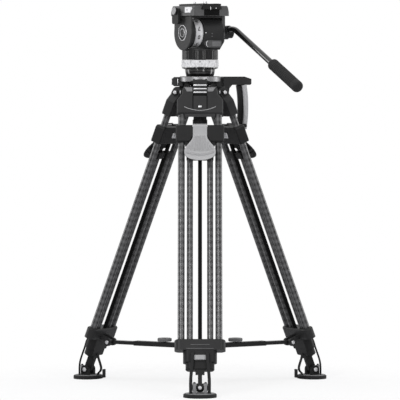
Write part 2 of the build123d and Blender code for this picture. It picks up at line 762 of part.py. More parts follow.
def half_ball():
    body = Pos(0, 0, BALL_Z) * Sphere(BALL_R)
    body = body & block(-RIM_R, RIM_R, -RIM_R, RIM_R, BALL_Z - BALL_R + BALL_FLAT, FLANGE_Z)
    skirt = Pos(0, 0, FLANGE_Z + SKIRT_H / 2) * Cone(BALL_R, FLANGE_R, SKIRT_H)
    body = body + skirt + rod_z(FLANGE_R, FLANGE_Z + SKIRT_H, FLANGE_Z + FLANGE_T)
    return body - rod_z(STUD_R + SEAT, BALL_Z - RIM_R, FLANGE_Z + FLANGE_T)


def centre_stud():
    top = FLANGE_Z + FLANGE_T
    return rod_z(STUD_R, TIE_KNOB_Z + TIE_STUD_END, top) + rod_z(SPINDLE_R, top, SPINDLE_TOP_Z)


def tie_down_knob():
    body = rod_z(TIE_KNOB_R, TIE_KNOB_Z, TIE_KNOB_Z + TIE_KNOB_H)
    body = fillet(body.edges().filter_by(GeomType.CIRCLE), EDGE)
    for i in range(TIE_GROOVES):
        groove = rod_z(TIE_GROOVE_R, TIE_KNOB_Z, TIE_KNOB_Z + TIE_KNOB_H, TIE_KNOB_R + TIE_GROOVE_OUT)
        body = body - Rot(0, 0, 360 / TIE_GROOVES * i) * groove
    return body - rod_z(STUD_R + RUN, TIE_KNOB_Z + TIE_CAP_T, TIE_KNOB_Z + TIE_KNOB_H)


def pan_drag_ring():
    body = rod_z(RING_R, RING_Z, RING_Z + RING_H)
    body = chamfer(body.edges().filter_by(GeomType.CIRCLE), EDGE_FINE)
    return body - rod_z(SPINDLE_R + RUN, RING_Z, RING_Z + RING_H)


def head_housing():
    pan = rod_z(PAN_R, PAN_Z, PAN_TOP_Z)
    pan = fillet(pan.edges().filter_by(GeomType.CIRCLE).group_by(Axis.Z)[-1], EDGE_DEEP)
    trunk = rod_x(BODY_R, BODY_LEFT, BODY_RIGHT, 0, TILT_Z)
    trunk = trunk + block(BODY_LEFT, BODY_RIGHT, -BODY_R, BODY_R, PAN_TOP_Z - TRUNK_SINK, TILT_Z)
    trunk = fillet(trunk.faces().sort_by(Axis.X)[-1].edges().sort_by(Axis.Z)[1:], TRUNK_EDGE)
    taper = [
        (BODY_RIGHT, PAN_TOP_Z - TRUNK_SKIRT + TAPER_H),
        (BODY_RIGHT, PAN_TOP_Z - CUT_H),
        (BODY_RIGHT - TAPER_W, PAN_TOP_Z - CUT_H),
        (BODY_RIGHT - TAPER_W, PAN_TOP_Z - TRUNK_SKIRT),
    ]
    trunk = trunk - outline_y(taper, -PAN_R, PAN_R)
    foot = rod_z(PAN_R, PAN_Z, PAN_TOP_Z + CUT_H)
    wide = CUT_REACH
    trunk = trunk & (foot + block(-wide, wide, -wide, wide, PAN_TOP_Z - TRUNK_SKIRT, TILT_Z + CUT_H))
    body = pan + trunk
    body = body + rod_x(SLEEVE_R, DIAL_LEFT, BODY_LEFT, 0, TILT_Z)
    body = body - rod_x(AXLE_R + RUN, DIAL_LEFT, BODY_RIGHT, 0, TILT_Z)
    body = body - rod_x(ROTOR_R + ROTOR_ROOM, ROTOR_LEFT - ROTOR_ROOM, ROTOR_RIGHT + ROTOR_ROOM, 0, TILT_Z)
    body = body - rod_z(SPINDLE_R + RUN, PAN_Z, SPINDLE_TOP_Z + GAP)
    return body - rod_y(BRAKE_PIN_R + RUN, -BODY_R, -BODY_R + BRAKE_HOLE_L, BRAKE_X, BRAKE_Z)


def tilt_axle():
    body = rod_x(AXLE_R, CHEEK_IN, ARM_RIGHT - AXLE_END, 0, TILT_Z)
    body = body + rod_x(ROTOR_R, ROTOR_LEFT, ROTOR_RIGHT, 0, TILT_Z)
    return body - rod_x(CLAMP_STUD_R + RUN, ARM_RIGHT - CLAMP_HOLE_L, ARM_RIGHT - AXLE_END, 0, TILT_Z)


def tilt_drag_dial():
    body = rod_x(DIAL_R, DIAL_LEFT, BODY_LEFT - GAP, 0, TILT_Z)
    body = chamfer(body.edges().filter_by(GeomType.CIRCLE), EDGE_FINE)
    return body - rod_x(SLEEVE_R + RUN, DIAL_LEFT, BODY_LEFT - GAP, 0, TILT_Z)


def left_cheek():
    low = TOP_Z - TOP_T
    half = CHEEK_TOP_HALF
    plate = rod_x(CHEEK_R, CHEEK_OUT, CHEEK_IN, 0, TILT_Z)
    plate = plate & block(CHEEK_OUT, CHEEK_IN, -CHEEK_R, CHEEK_R, TILT_Z - CHEEK_R, low)
    plate = plate + block(CHEEK_OUT, CHEEK_IN, -half, half, TILT_Z, low)
    body = chamfer(plate.edges().group_by(Axis.X)[0], EDGE_SMALL)
    body = body + rod_x(CHEEK_BOSS_R, CHEEK_IN, DIAL_LEFT - GAP, 0, TILT_Z)
    return body - rod_x(AXLE_R + SEAT, CHEEK_IN, DIAL_LEFT - GAP, 0, TILT_Z)


def dovetail(half, neck, floor, top, y0, y1):
    return outline_y(mirrored([(half, floor), (neck, top)]), y0, y1)


def tilt_platform():
    low = TOP_Z - TOP_T
    half = TOP_HALF
    right = [(half, low), (half, low + TOP_WALL_H), (half - TOP_SLANT, TOP_Z)]
    body = outline_y(mirrored(right), -half, half)
    body = chamfer(body.edges().filter_by(Axis.Z), TOP_CORNER)
    cut = dovetail(DOVE_HALF, DOVE_NECK, TOP_Z - DOVE_FLOOR, TOP_Z, -half, half)
    body = body - cut
    arm = rod_x(ARM_DISC_R, BODY_RIGHT + SIDE_ROOM, ARM_RIGHT, 0, TILT_Z)
    reach = ARM_DISC_R
    arm = arm + block(BODY_RIGHT + SIDE_ROOM, ARM_RIGHT, -reach, reach, TILT_Z, low)
    body = body + arm
    body = body - rod_x(AXLE_R + SEAT, BODY_RIGHT, ARM_RIGHT, 0, TILT_Z)
    body = body - rod_x(LOCK_PIN_R + RUN, -half, -half + PIN_DEEP, LOCK_Y, LOCK_Z)
    z0 = low + BUTTON_RISE
    deep = BUTTON_TRAVEL + BUTTON_DEEP + BUTTON_BACK
    y0 = BUTTON_Y - BUTTON_W / 2 - ROOM
    y1 = y0 + BUTTON_W + 2 * ROOM
    pocket = block(-half - ROOM, -half + deep, y0, y1, z0 - ROOM, z0 + BUTTON_H + ROOM)
    return body - pocket


def camera_plate():
    floor = TOP_Z - DOVE_FLOOR + ROOM
    half = PLATE_LEN / 2
    body = dovetail(DOVE_HALF - ROOM, DOVE_NECK - ROOM, floor, TOP_Z + ROOM, -half, half)
    body = body + block(-PLATE_HALF, PLATE_HALF, -half, half, TOP_Z + ROOM, PLATE_TOP_Z)
    for y, r in ((-SCREW_AT, SCREW_BIG_R), (SCREW_AT, SCREW_SMALL_R)):
        head = SCREW_HEAD_T + SCREW_FLOAT
        body = body - rod_z(r + RUN, floor, PLATE_TOP_Z, 0, y)
        body = body - rod_z(r + SCREW_HEAD_OVER + RUN, floor, floor + head, 0, y)
    return body


def camera_screw(y, r):
    floor = TOP_Z - DOVE_FLOOR + ROOM
    low = floor + SCREW_SINK
    head = rod_z(r + SCREW_HEAD_OVER, low, low + SCREW_HEAD_T, 0, y)
    neck = rod_z(r - SCREW_UNDERCUT, low, PLATE_TOP_Z + SCREW_NECK_OUT, 0, y)
    return head + neck + rod_z(r, PLATE_TOP_Z + SCREW_NECK_OUT, PLATE_TOP_Z + SCREW_OUT, 0, y)


def plate_lock_lever():
    x1 = -TOP_HALF - LOCK_OFF
    x0 = x1 - LOCK_T
    body = block(x0, x1, LOCK_Y - LOCK_BACK, LOCK_Y + LOCK_FRONT, LOCK_Z - LOCK_LEN, LOCK_Z + LOCK_RISE)
    body = fillet(body.edges().filter_by(Axis.X), LOCK_EDGE)
    body = body + rod_x(LOCK_BOSS_R, x0 - LOCK_BOSS_T, x0, LOCK_Y, LOCK_Z)
    return body + rod_x(LOCK_PIN_R, x1, -TOP_HALF + LOCK_PIN_L, LOCK_Y, LOCK_Z)


def release_button():
    x0 = -TOP_HALF - BUTTON_OUT
    z0 = TOP_Z - TOP_T + BUTTON_RISE
    y0 = BUTTON_Y - BUTTON_W / 2
    body = block(x0, -TOP_HALF + BUTTON_DEEP, y0, y0 + BUTTON_W, z0, z0 + BUTTON_H)
    return chamfer(body.faces().sort_by(Axis.X)[0].edges(), BUTTON_BEVEL)


def brake_lever():
    y1 = -BODY_R - BRAKE_OFF
    y0 = y1 - BRAKE_T
    half = BRAKE_R
    x1 = BRAKE_X + BRAKE_LEN
    body = block(BRAKE_X, x1, y0, y1, BRAKE_Z - half, BRAKE_Z + half)
    body = fillet(body.edges().filter_by(Axis.Y).group_by(Axis.X)[-1], BRAKE_EDGE)
    body = body + rod_y(BRAKE_R, y0 - BRAKE_BOSS_T, y1, BRAKE_X, BRAKE_Z)
    return body + rod_y(BRAKE_PIN_R, y1, -BODY_R + BRAKE_PIN_L, BRAKE_X, BRAKE_Z)


def bar_clamp():
    x0 = ARM_RIGHT + GAP
    body = rod_x(CLAMP_R, x0, CLAMP_OUT, 0, TILT_Z)
    body = body + rod_y(BAR_R + SOCKET_WALL, BAR_START - SOCKET_L, BAR_START + SOCKET_BACK, BAR_X, BAR_Z)
    body = body - rod_x(CLAMP_STUD_R + RUN, x0, CLAMP_OUT, 0, TILT_Z)
    return body - rod_y(BAR_R + SEAT, BAR_START - SOCKET_L, BAR_START, BAR_X, BAR_Z)


def bar_point(along):
    drop = math.radians(BAR_DROP)
    return (BAR_X, BAR_BEND - along * math.cos(drop), BAR_Z - along * math.sin(drop))


def pan_bar():
    end = BAR_SLOPE_L + BAR_GRIP_L - GRIP_END_L
    path = FilletPolyline((BAR_X, BAR_START, BAR_Z), (BAR_X, BAR_BEND, BAR_Z), bar_point(end), radius=BAR_BEND_R)
    start = Plane((BAR_X, BAR_START, BAR_Z), z_dir=(0, -1, 0))
    return sweep(start * Circle(BAR_R), path=path)


def pan_bar_grip():
    start = bar_point(BAR_SLOPE_L)
    body = Pos(0, 0, BAR_GRIP_L / 2) * Cylinder(BAR_GRIP_R, BAR_GRIP_L)
    body = fillet(body.edges().group_by(Axis.Z)[-1], GRIP_DOME)
    body = fillet(body.edges().group_by(Axis.Z)[0], GRIP_COLLAR)
    deep = BAR_GRIP_L - GRIP_END_L
    body = body - Pos(0, 0, deep / 2) * Cylinder(BAR_R + SEAT, deep)
    drop = math.radians(BAR_DROP)
    return Plane(start, x_dir=(1, 0, 0), z_dir=(0, -math.cos(drop), -math.sin(drop))) * body


def bar_clamp_knob():
    x0 = CLAMP_OUT + GAP
    body = rod_x(CLAMP_KNOB_R, x0, x0 + CLAMP_KNOB_H, 0, TILT_Z)
    body = fillet(body.edges().filter_by(GeomType.CIRCLE), EDGE_SMALL)
    for i in range(CLAMP_NOTCHES):
        notch = rod_x(CLAMP_NOTCH_R, x0, x0 + CLAMP_KNOB_H, 0, CLAMP_KNOB_R + CLAMP_NOTCH_OUT)
        body = body - Pos(0, 0, TILT_Z) * Rot(360 / CLAMP_NOTCHES * i, 0, 0) * notch
    return body + rod_x(CLAMP_STUD_R, ARM_RIGHT - CLAMP_STUD_L, x0 + STUD_ROOT, 0, TILT_Z)


def build():
    parts = {"crown": [crown()], "leg_hinge_bolts": hinge_bolts()}
    makers = {
        "shoulder": shoulder,
        "upper_tubes": upper_tubes,
        "lever_housing": lever_housing,
        "release_lever": release_lever,
        "brake_block": brake_block,
        "lower_tubes": lower_tubes,
        "foot_block": foot_block,
    }
    for name, maker in makers.items():
        made = maker()
        solids = made if isinstance(made, list) else [made]
        for leg, azimuth in LEGS.items():
            whole = solids
            if name == "lever_housing" and leg == "right":
                tabs = handle_tabs()
                whole = [solids[0] + tabs[0] + tabs[1]]
            parts[f"{name}_{leg}"] = [on_leg(one, azimuth) for one in whole]
    for leg, azimuth in LEGS.items():
        parts[f"foot_pad_{leg}"] = [foot_pad(azimuth)]
        parts[f"spreader_outer_arm_{leg}"] = [outer_arm(azimuth)]
        parts[f"spreader_inner_arm_{leg}"] = [inner_arm(azimuth)]
        parts[f"spreader_knob_{leg}"] = [arm_knob(azimuth)]
    parts["spreader_hub"] = [hub()]
    parts["handle_bracket"] = [handle_bracket()]
    parts["carry_handle"] = [carry_handle()]
    parts["clamp_cup"] = [clamp_cup()]
    parts["half_ball"] = [half_ball()]
    parts["centre_stud"] = [centre_stud()]
    parts["tie_down_knob"] = [tie_down_knob()]
    parts["pan_drag_ring"] = [pan_drag_ring()]
    head = {
        "head_housing": head_housing(),
        "tilt_axle": tilt_axle(),
        "tilt_drag_dial": tilt_drag_dial(),
        "left_cheek": left_cheek(),
        "tilt_platform": tilt_platform(),
        "camera_plate": camera_plate(),
        "camera_screw_large": camera_screw(-SCREW_AT, SCREW_BIG_R),
        "camera_screw_small": camera_screw(SCREW_AT, SCREW_SMALL_R),
        "plate_lock_lever": plate_lock_lever(),
        "release_button": release_button(),
        "brake_lever": brake_lever(),
        "pan_bar_clamp": bar_clamp(),
        "pan_bar": pan_bar(),
        "pan_bar_grip": pan_bar_grip(),
        "bar_clamp_knob": bar_clamp_knob(),
    }
    for name, shape in head.items():
        parts[name] = [on_head(shape)]
    return parts


def save(parts):
    os.makedirs("parts", exist_ok=True)
    for name, solids in parts.items():
        placed = [Pos(0, AXIS_Y, 0) * one for one in solids]
        whole = placed[0] if len(placed) == 1 else Compound(children=placed)
        export_step(whole, f"parts/{name}.step")


if __name__ == "__main__":
    save(build())
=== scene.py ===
# %% [markdown]
# A video tripod with a fluid head. The solids come ready from the frame: castings, tubes, arms and
# screws already have their true size and place. This lesson gives each of them a finish, and adds
# what a lathe, a mould or a milling cutter would leave: knurls, ribs, lips, seams, dots and numbers.

# %% Load the frame
import json
import math

import bmesh
import bpy
from mathutils import Matrix, Vector


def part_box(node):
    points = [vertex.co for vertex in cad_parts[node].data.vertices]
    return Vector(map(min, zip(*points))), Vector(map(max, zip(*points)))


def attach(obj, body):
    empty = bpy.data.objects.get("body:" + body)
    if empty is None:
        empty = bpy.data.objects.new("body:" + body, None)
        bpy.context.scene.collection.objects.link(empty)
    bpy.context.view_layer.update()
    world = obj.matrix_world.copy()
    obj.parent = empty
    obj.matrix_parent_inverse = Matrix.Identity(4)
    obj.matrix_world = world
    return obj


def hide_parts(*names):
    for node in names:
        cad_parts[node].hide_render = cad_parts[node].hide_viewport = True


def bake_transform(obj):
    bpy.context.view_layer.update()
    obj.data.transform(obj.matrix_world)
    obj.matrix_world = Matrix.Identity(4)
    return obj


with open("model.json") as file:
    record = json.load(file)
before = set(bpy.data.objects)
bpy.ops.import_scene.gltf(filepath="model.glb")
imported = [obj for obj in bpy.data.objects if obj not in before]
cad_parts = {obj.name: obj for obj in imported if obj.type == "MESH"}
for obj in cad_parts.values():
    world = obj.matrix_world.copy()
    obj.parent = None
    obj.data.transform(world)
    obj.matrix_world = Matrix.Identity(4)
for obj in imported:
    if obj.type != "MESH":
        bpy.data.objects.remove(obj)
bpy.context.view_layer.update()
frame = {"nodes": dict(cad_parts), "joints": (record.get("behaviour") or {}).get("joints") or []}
SCENE = bpy.context.scene
NODES = frame["nodes"]
JOINTS = {joint["name"]: joint for joint in frame["joints"]}
LEGS = ("front", "right", "left")
SIDES = {"west": -1, "east": 1}

# %% [markdown]
# Most pieces are easier to draw in the frame of what carries them. A leg's own frame has its hinge at
# the origin, X along the hinge pin, Z up the leg and -Y outwards. The head's frame has the tilt axis as
# X and the operator on the -Y side. Both are read from the joints. Lengths in these frames are in
# millimetres, and one scale turns them to metres.

# %% Working frames
MM = 0.001
EAST, UP = (1, 0, 0), (0, 0, 1)


def axes_at(origin, x_axis, z_axis):
    """A frame in millimetres at a point, with its X and Z along two directions."""
    x = Vector(x_axis).normalized()
    z = Vector(z_axis).normalized()
    turn = Matrix((x, z.cross(x), z)).transposed().to_4x4()
    return Matrix.Translation(origin) @ turn @ Matrix.Scale(MM, 4)


def leg_frame(leg):
    fold = JOINTS[f"leg_{leg}_fold"]
    down = Vector(JOINTS[f"leg_{leg}_extend"]["axis"])
    return axes_at(fold["pos_m"], fold["axis"], -down)


def foot_frame(leg):
    swivel = JOINTS[f"foot_{leg}_swivel"]
    return axes_at(swivel["pos_m"], swivel["axis"], UP)


LEG = {leg: leg_frame(leg) for leg in LEGS}
FOOT = {leg: foot_frame(leg) for leg in LEGS}
HEAD = axes_at(JOINTS["tilt"]["pos_m"], JOINTS["tilt"]["axis"], UP)
PAN = axes_at(JOINTS["pan"]["pos_m"], JOINTS["tilt"]["axis"], UP)
AXIS_Y = JOINTS["pan"]["pos_m"][1]
PAN_Z = JOINTS["pan"]["pos_m"][2] / MM
print("tripod axis at y", AXIS_Y, "pan joint at", PAN_Z, "mm")

# %% [markdown]
# Shader maths reads best as plain sums. The small class below wraps an output socket, and each
# operator adds one Math node, so a mask can be written as 1 - rings * 0.5.

# %% Sockets with operators


class Value:
    def __init__(self, tree, socket):
        self.tree = tree
        self.socket = socket

    def math(self, operation, *others):
        node = self.tree.nodes.new("ShaderNodeMath")
        node.operation = operation
        for slot, item in zip(node.inputs, others):
            plug(item, slot)
        return Value(self.tree, node.outputs[0])

    def __add__(self, other):
        return self.math("ADD", self, other)

    def __sub__(self, other):
        return self.math("SUBTRACT", self, other)

    def __mul__(self, other):
        return self.math("MULTIPLY", self, other)

    def __truediv__(self, other):
        return self.math("DIVIDE", self, other)

    __radd__, __rmul__ = __add__, __mul__

    def __rsub__(self, other):
        return self.math("SUBTRACT", other, self)

    def __rtruediv__(self, other):
        return self.math("DIVIDE", other, self)

    def fold(self, period):
        return self.math("PINGPONG", self, period)


def plug(item, slot):
    """Link a value to an input socket, or set the socket to a plain value."""
    if isinstance(item, Value):
        item.tree.links.new(item.socket, slot)
    else:
        slot.default_value = item


print("values ready")

# %% [markdown]
# Any other node comes from one method of a graph, which sets the node's choices first and its sockets
# after. A finish is the graph of one material. Its patterns are placed by Object coordinates, so they
# stay on a piece that moves, and a Mapping node turns them into the frame of a leg where that helps.

# %% Graphs and finishes
GRAIN_ROUGH = 0.55
EDGE_ROUND = 0.0007
COOL = 1.02


class Graph:
    """A node tree, with one method that makes any of its nodes."""

    def __init__(self, tree):
        self.tree = tree

    def node(self, kind, settings=None, output=0, **sockets):
        made = self.tree.nodes.new(kind)
        for label, choice in (settings or {}).items():
            setattr(made, label, choice)
        for label, item in sockets.items():
            slot = made.inputs[int(label[1:])] if label[0] == "_" else made.inputs[label]
            plug(item, slot)
        return Value(self.tree, made.outputs[output])


class Finish(Graph):
    """A material and the nodes that feed its shader."""

    def __init__(self, name, **constants):
        self.material = bpy.data.materials.new(name)
        self.material.use_nodes = True
        super().__init__(self.material.node_tree)
        self.shader = self.tree.nodes["Principled BSDF"]
        for label, value in constants.items():
            self.shader.inputs[label.replace("_", " ")].default_value = value

    def feed(self, label, item):
        plug(item, self.shader.inputs[label])

    def place(self, matrix=None):
        """Object coordinates in metres, or in the millimetres of a working frame."""
        point = self.node("ShaderNodeTexCoord", output=3)
        if matrix is None:
            return point
        spot, turn, scale = matrix.inverted().decompose()
        return self.node("ShaderNodeMapping", Vector=point, Location=spot, Rotation=turn.to_euler(),
                         Scale=scale)

    def parts(self, vector):
        split = self.node("ShaderNodeSeparateXYZ", Vector=vector).socket.node
        return [Value(self.tree, out) for out in split.outputs]

    def grain(self, vector, scale, detail=3.0):
        return self.node("ShaderNodeTexNoise", Vector=vector, Scale=scale, Detail=detail,
                         Roughness=GRAIN_ROUGH)

    def blend(self, factor, dark, light):
        return self.node("ShaderNodeMix", {"data_type": "RGBA"}, 2, _0=factor, _6=dark, _7=light)

    def bump(self, height, distance):
        rounded = self.node("ShaderNodeBevel", Radius=EDGE_ROUND)
        self.feed("Normal", self.node("ShaderNodeBump", Height=height, Distance=distance, Normal=rounded))

    def skin(self, shade, dark, light, rough, height, distance):
        """Feed a colour between two greys, a roughness and a fine relief."""
        self.feed("Base Color", self.blend(shade, grey(dark), grey(light)))
        self.feed("Roughness", rough)
        self.bump(height, distance)
        return self.material


def grey(level):
    return (level, level, level * COOL, 1.0)


print("finishes ready")

# %% [markdown]
# The castings are powder coated: near black, with a fine orange-peel skin and slightly uneven gloss.
# A flat colour would look like plastic film, so a slow noise moves the colour and the roughness a
# little, and a fine noise lifts the surface by a few hundredths of a millimetre. The Bevel node
# rounds the solids' sharp edges for the light alone, as a real casting's edges are.

# %% Coated castings
COAT_CLOUDS, PEEL, PEEL_HIGH = 18.0, 900.0, 0.00006


def coated(name, level, rough, specular):
    made = Finish(name, Specular_IOR_Level=specular)
    point = made.place()
    slow = made.grain(point, COAT_CLOUDS)
    fine = made.grain(point, PEEL, 2.0)
    uneven = rough + (slow - 0.5) * 0.16 + (fine - 0.5) * 0.1
    return made.skin(slow, level * 0.65, level * 1.35, uneven, fine, PEEL_HIGH)


CASTING = coated("black_powder_coat", 0.019, 0.42, specular=0.16)
HEAD_COAT = coated("charcoal_powder_coat", 0.017, 0.4, specular=0.18)
FACET = coated("grey_powder_coat", 0.06, 0.36, specular=0.3)
SLATE = coated("slate_powder_coat", 0.17, 0.34, specular=0.35)
MOULDED = coated("black_moulded_plastic", 0.010, 0.46, specular=0.14)
BLACKENED = coated("blackened_rod", 0.004, 0.5, specular=0.04)
GREY_PLASTIC = coated("grey_moulded_plastic", 0.12, 0.42, specular=0.25)
print("castings:", CASTING.name, HEAD_COAT.name, FACET.name)

# %% [markdown]
# Black anodised and painted gloss parts are smoother: the half ball, the pan bar and the camera plate.
# They keep a deep black and show narrow bright streaks, so their roughness is low and barely varies.
# Bare metal is brushed: its noise is stretched until it reads as fine lines round the work.

# %% Gloss black and bare metals
WEAR, WEAR_HIGH = 60.0, 0.00002
BRUSH_MARKS, BRUSH_HIGH = (40.0, 40.0, 900.0), 0.00003
LACQUER_ROUGH = 0.08


def gloss(name, level, rough, specular, clear=0.0):
    made = Finish(name, Specular_IOR_Level=specular, Coat_Weight=clear, Coat_Roughness=LACQUER_ROUGH)
    wear = made.grain(made.place(), WEAR, 4.0)
    return made.skin(wear, level * 0.8, level * 1.25, rough + (wear - 0.5) * 0.08, wear, WEAR_HIGH)


def bare_metal(name, level, rough):
    made = Finish(name, Metallic=1.0)
    scaled = {"operation": "MULTIPLY"}
    brushed = made.grain(made.node("ShaderNodeVectorMath", scaled, _0=made.place(), _1=BRUSH_MARKS), 1.0)
    uneven = rough + (brushed - 0.5) * 0.18
    return made.skin(brushed, level * 0.86, level * 1.08, uneven, brushed, BRUSH_HIGH)


GLOSS = gloss("black_gloss_paint", 0.003, 0.16, 0.5, 0.2)
SATIN = gloss("black_satin_paint", 0.007, 0.26, 0.2)
ANODISED = gloss("black_anodising", 0.008, 0.3, 0.2)
STEEL = bare_metal("bright_steel", 0.36, 0.26)
SILVER = bare_metal("silver_anodising", 0.5, 0.38)
PALE_METAL = bare_metal("satin_alloy", 0.5, 0.4)
DULL_METAL = bare_metal("blackened_alloy", 0.22, 0.38)
print("metals:", STEEL.name, SILVER.name)

# %% [markdown]
# The release levers are satin silver-grey paint, with a very fine sparkle. The two drag rings are
# anodised so pale that they read as paint too. White paint fills the index dots and lines, and dark
# paint the numbers on the rings.

# %% Paints
PAINT_CLOUDS, FLAKES, FLAKE_HIGH = 25.0, 2500.0, 0.00002


def paint(name, level, rough, sparkle=0.0):
    made = Finish(name, Specular_IOR_Level=0.4)
    point = made.place()
    slow = made.grain(point, PAINT_CLOUDS)
    flake = made.grain(point, FLAKES, 1.0)
    shade = slow * (1 - sparkle) + flake * sparkle
    uneven = rough + (flake - 0.5) * 0.12
    return made.skin(shade, level * 0.86, level * 1.12, uneven, flake, FLAKE_HIGH)


LEVER_PAINT = paint("silver_grey_paint", 0.31, 0.38, 0.4)
WHITE_PAINT = paint("white_fill_paint", 0.8, 0.4)
DARK_PAINT = paint("dark_fill_paint", 0.03, 0.5)
PALE_ANODISING = paint("pale_anodising", 0.58, 0.3, 0.3)
WHITE_PLASTIC = paint("white_moulded_plastic", 0.78, 0.3)
print("paints:", LEVER_PAINT.name, WHITE_PAINT.name)

# %% [markdown]
# Rubber is dull and dark, with a dusty bloom that lightens it in patches. The carry handle's sides are
# a lighter, dimpled rubber: rows of small dots, drawn in the frame of the right leg.

# %% Rubbers
BLOOM, SKIN, SKIN_HIGH = 35.0, 1400.0, 0.00008
RUBBER_ROUGH, DIMPLED_ROUGH = 0.68, 0.6
DOT_SHARE, DOT_EDGE, DOT_DEEP, DOT_PITCH = 0.12, 0.3, 0.0004, 4.0


def rubber(name, level):
    made = Finish(name, Specular_IOR_Level=0.18)
    point = made.place()
    bloom = made.grain(point, BLOOM, 4.0)
    fine = made.grain(point, SKIN, 2.0)
    uneven = RUBBER_ROUGH + (bloom - 0.5) * 0.2
    return made.skin(bloom, level * 0.6, level * 1.5, uneven, fine, SKIN_HIGH)


def dimpled_rubber(name, level, matrix):
    made = Finish(name, Specular_IOR_Level=0.3)
    point = made.place(matrix)
    _, along, height = made.parts(point)
    half = DOT_PITCH / 2
    row = along.fold(half) - half / 2
    column = height.fold(half) - half / 2
    far = row * row + column * column
    dot = 1 - far.math("SMOOTH_MIN", far / (half * half * DOT_SHARE), 1.0, DOT_EDGE)
    bloom = made.grain(point, 0.06)
    uneven = DIMPLED_ROUGH + (bloom - 0.5) * 0.2
    return made.skin(dot, level, level * 0.35, uneven, 0 - dot, DOT_DEEP)


RUBBER = rubber("black_rubber", 0.011)
GREY_RUBBER = rubber("grey_rubber", 0.2)
DIMPLED = dimpled_rubber("dimpled_grey_rubber", 0.4, LEG["right"])
print("rubbers:", RUBBER.name, DIMPLED.name)

# %% [markdown]
# The leg tubes are wound carbon under clear lacquer. A twill weave shows as a chain of dark and less
# dark lozenges that climbs round the tube. The pattern is worked out in the leg's own frame: the height
# along the leg, and the angle round the nearest tube's centre line, which is one arctangent. A whole
# number of lozenges goes round each tube, so the weave has no seam. Dark and light ones take turns, so
# a full turn of the pattern is two lozenges long.

# %% Woven carbon
LOZENGE, LOZENGES_ROUND = 16.5, 5
WEAVE_DARK, WEAVE_LIGHT, WEAVE_CLOUDS, WEAVE_HIGH = 0.002, 0.1, 12.0, 0.00008
TUBE_OFFSET = {"upper": 45.9, "lower": 24.8}


def woven(name, matrix, stage):
    made = Finish(name, Specular_IOR_Level=0.1, Coat_Weight=0.8, Coat_Roughness=LACQUER_ROUGH)
    across, out, up = made.parts(made.place(matrix))
    beside = across.math("ABSOLUTE", across) - TUBE_OFFSET[stage]
    angle = across.math("ARCTAN2", out, beside)
    turns = angle * (LOZENGES_ROUND / (4 * math.pi))
    rows = up / (2 * LOZENGE)
    warp = (turns + rows).fold(0.5) * 2
    weft = (turns - rows).fold(0.5) * 2
    twill = warp * (1 - weft) + weft * (1 - warp)
    slow = made.grain(made.place(), WEAVE_CLOUDS)
    shade = twill * 1.5 - 0.25 + (slow - 0.5) * 0.3
    uneven = 0.44 - twill * 0.12 + (slow - 0.5) * 0.1
    return made.skin(shade, WEAVE_DARK, WEAVE_LIGHT, uneven, twill, WEAVE_HIGH)


CARBON = {f"{stage}_tubes_{leg}": woven(f"woven_carbon_{leg}_{stage}", LEG[leg], stage)
          for leg in LEGS for stage in TUBE_OFFSET}
print(len(CARBON), "weaves")

# %% [markdown]
# Now every solid of the frame gets its finish. The names say what each one is, so a short table of
# finishes and the starts of names covers them all. Where two starts fit a name, the longer one holds.

# %% Finishes for the solids
STARTS = {
    HEAD_COAT: "crown handle_bracket head_housing left_cheek",
    CASTING: "shoulder brake_block pan_bar_clamp",
    MOULDED: "lever_housing foot_block spreader_outer_arm spreader_hub tie_down_knob plate_lock_lever"
             " bar_clamp_knob",
    ANODISED: "leg_hinge_bolts spreader_inner_arm clamp_cup centre_stud camera_plate",
    RUBBER: "foot_pad carry_handle pan_bar_grip", GLOSS: "half_ball pan_bar",
    FACET: "tilt_platform brake_lever", STEEL: "tilt_axle camera_screw", LEVER_PAINT: "release_lever",
    PALE_ANODISING: "pan_drag_ring tilt_drag_dial", GREY_PLASTIC: "spreader_knob",
    WHITE_PLASTIC: "release_button",
}
FINISHES = CARBON | {start: finish for finish, starts in STARTS.items() for start in starts.split()}
for name, solid in NODES.items():
    start = max((start for start in FINISHES if name.startswith(start)), key=len)
    solid.data.materials.clear()
    solid.data.materials.append(FINISHES[start])
print("finished", len(NODES), "solids")

# %% [markdown]
# Every added piece ends the same way: doubles merged, normals outwards, edges sharper than a set angle
# kept crisp, one finish, and the body it rides on. A piece that crosses a joint is given no body here.

# %% Settling a piece
CRISP = math.radians(38)
SAME_SPOT = 0.0005


def settle(bm, name, matrix, finish, body):
    bmesh.ops.remove_doubles(bm, verts=bm.verts, dist=SAME_SPOT)
    bmesh.ops.recalc_face_normals(bm, faces=bm.faces)
    bmesh.ops.transform(bm, matrix=matrix, verts=bm.verts)
    mesh = bpy.data.meshes.new(name)
    bm.to_mesh(mesh)
    bm.free()
    mesh.materials.append(finish)
    mesh.shade_smooth()
    mesh.set_sharp_from_angle(angle=CRISP)
    piece = bpy.data.objects.new(name, mesh)
    SCENE.collection.objects.link(piece)
    if body:
        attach(piece, body)
    return piece


def moved(matrix, x=0.0, y=0.0, z=0.0, turn=(0, 0, 0)):
    """A working frame shifted, then turned about its own X, Y and Z in degrees."""
    spin = Matrix.Identity(4)
    for axis, degrees in zip("XYZ", turn):
        spin = Matrix.Rotation(math.radians(degrees), 4, axis) @ spin
    return matrix @ Matrix.Translation((x, y, z)) @ spin


def on_x(matrix, side, x, y=0.0, z=0.0):
    """A frame on one side of a piece, with its Z pointing outwards along X."""
    return moved(matrix, side * x, y, z, (0, 90 * side, 0))


print("pieces can settle")

# %% [markdown]
# The added pieces are drawn with a handful of bmesh helpers that copy workshop processes: a lathe that
# spins a profile, a button head turned on it, a block with rounded edges, and a wire bent along points.

# %% Workshop helpers
SHARP = math.radians(30)


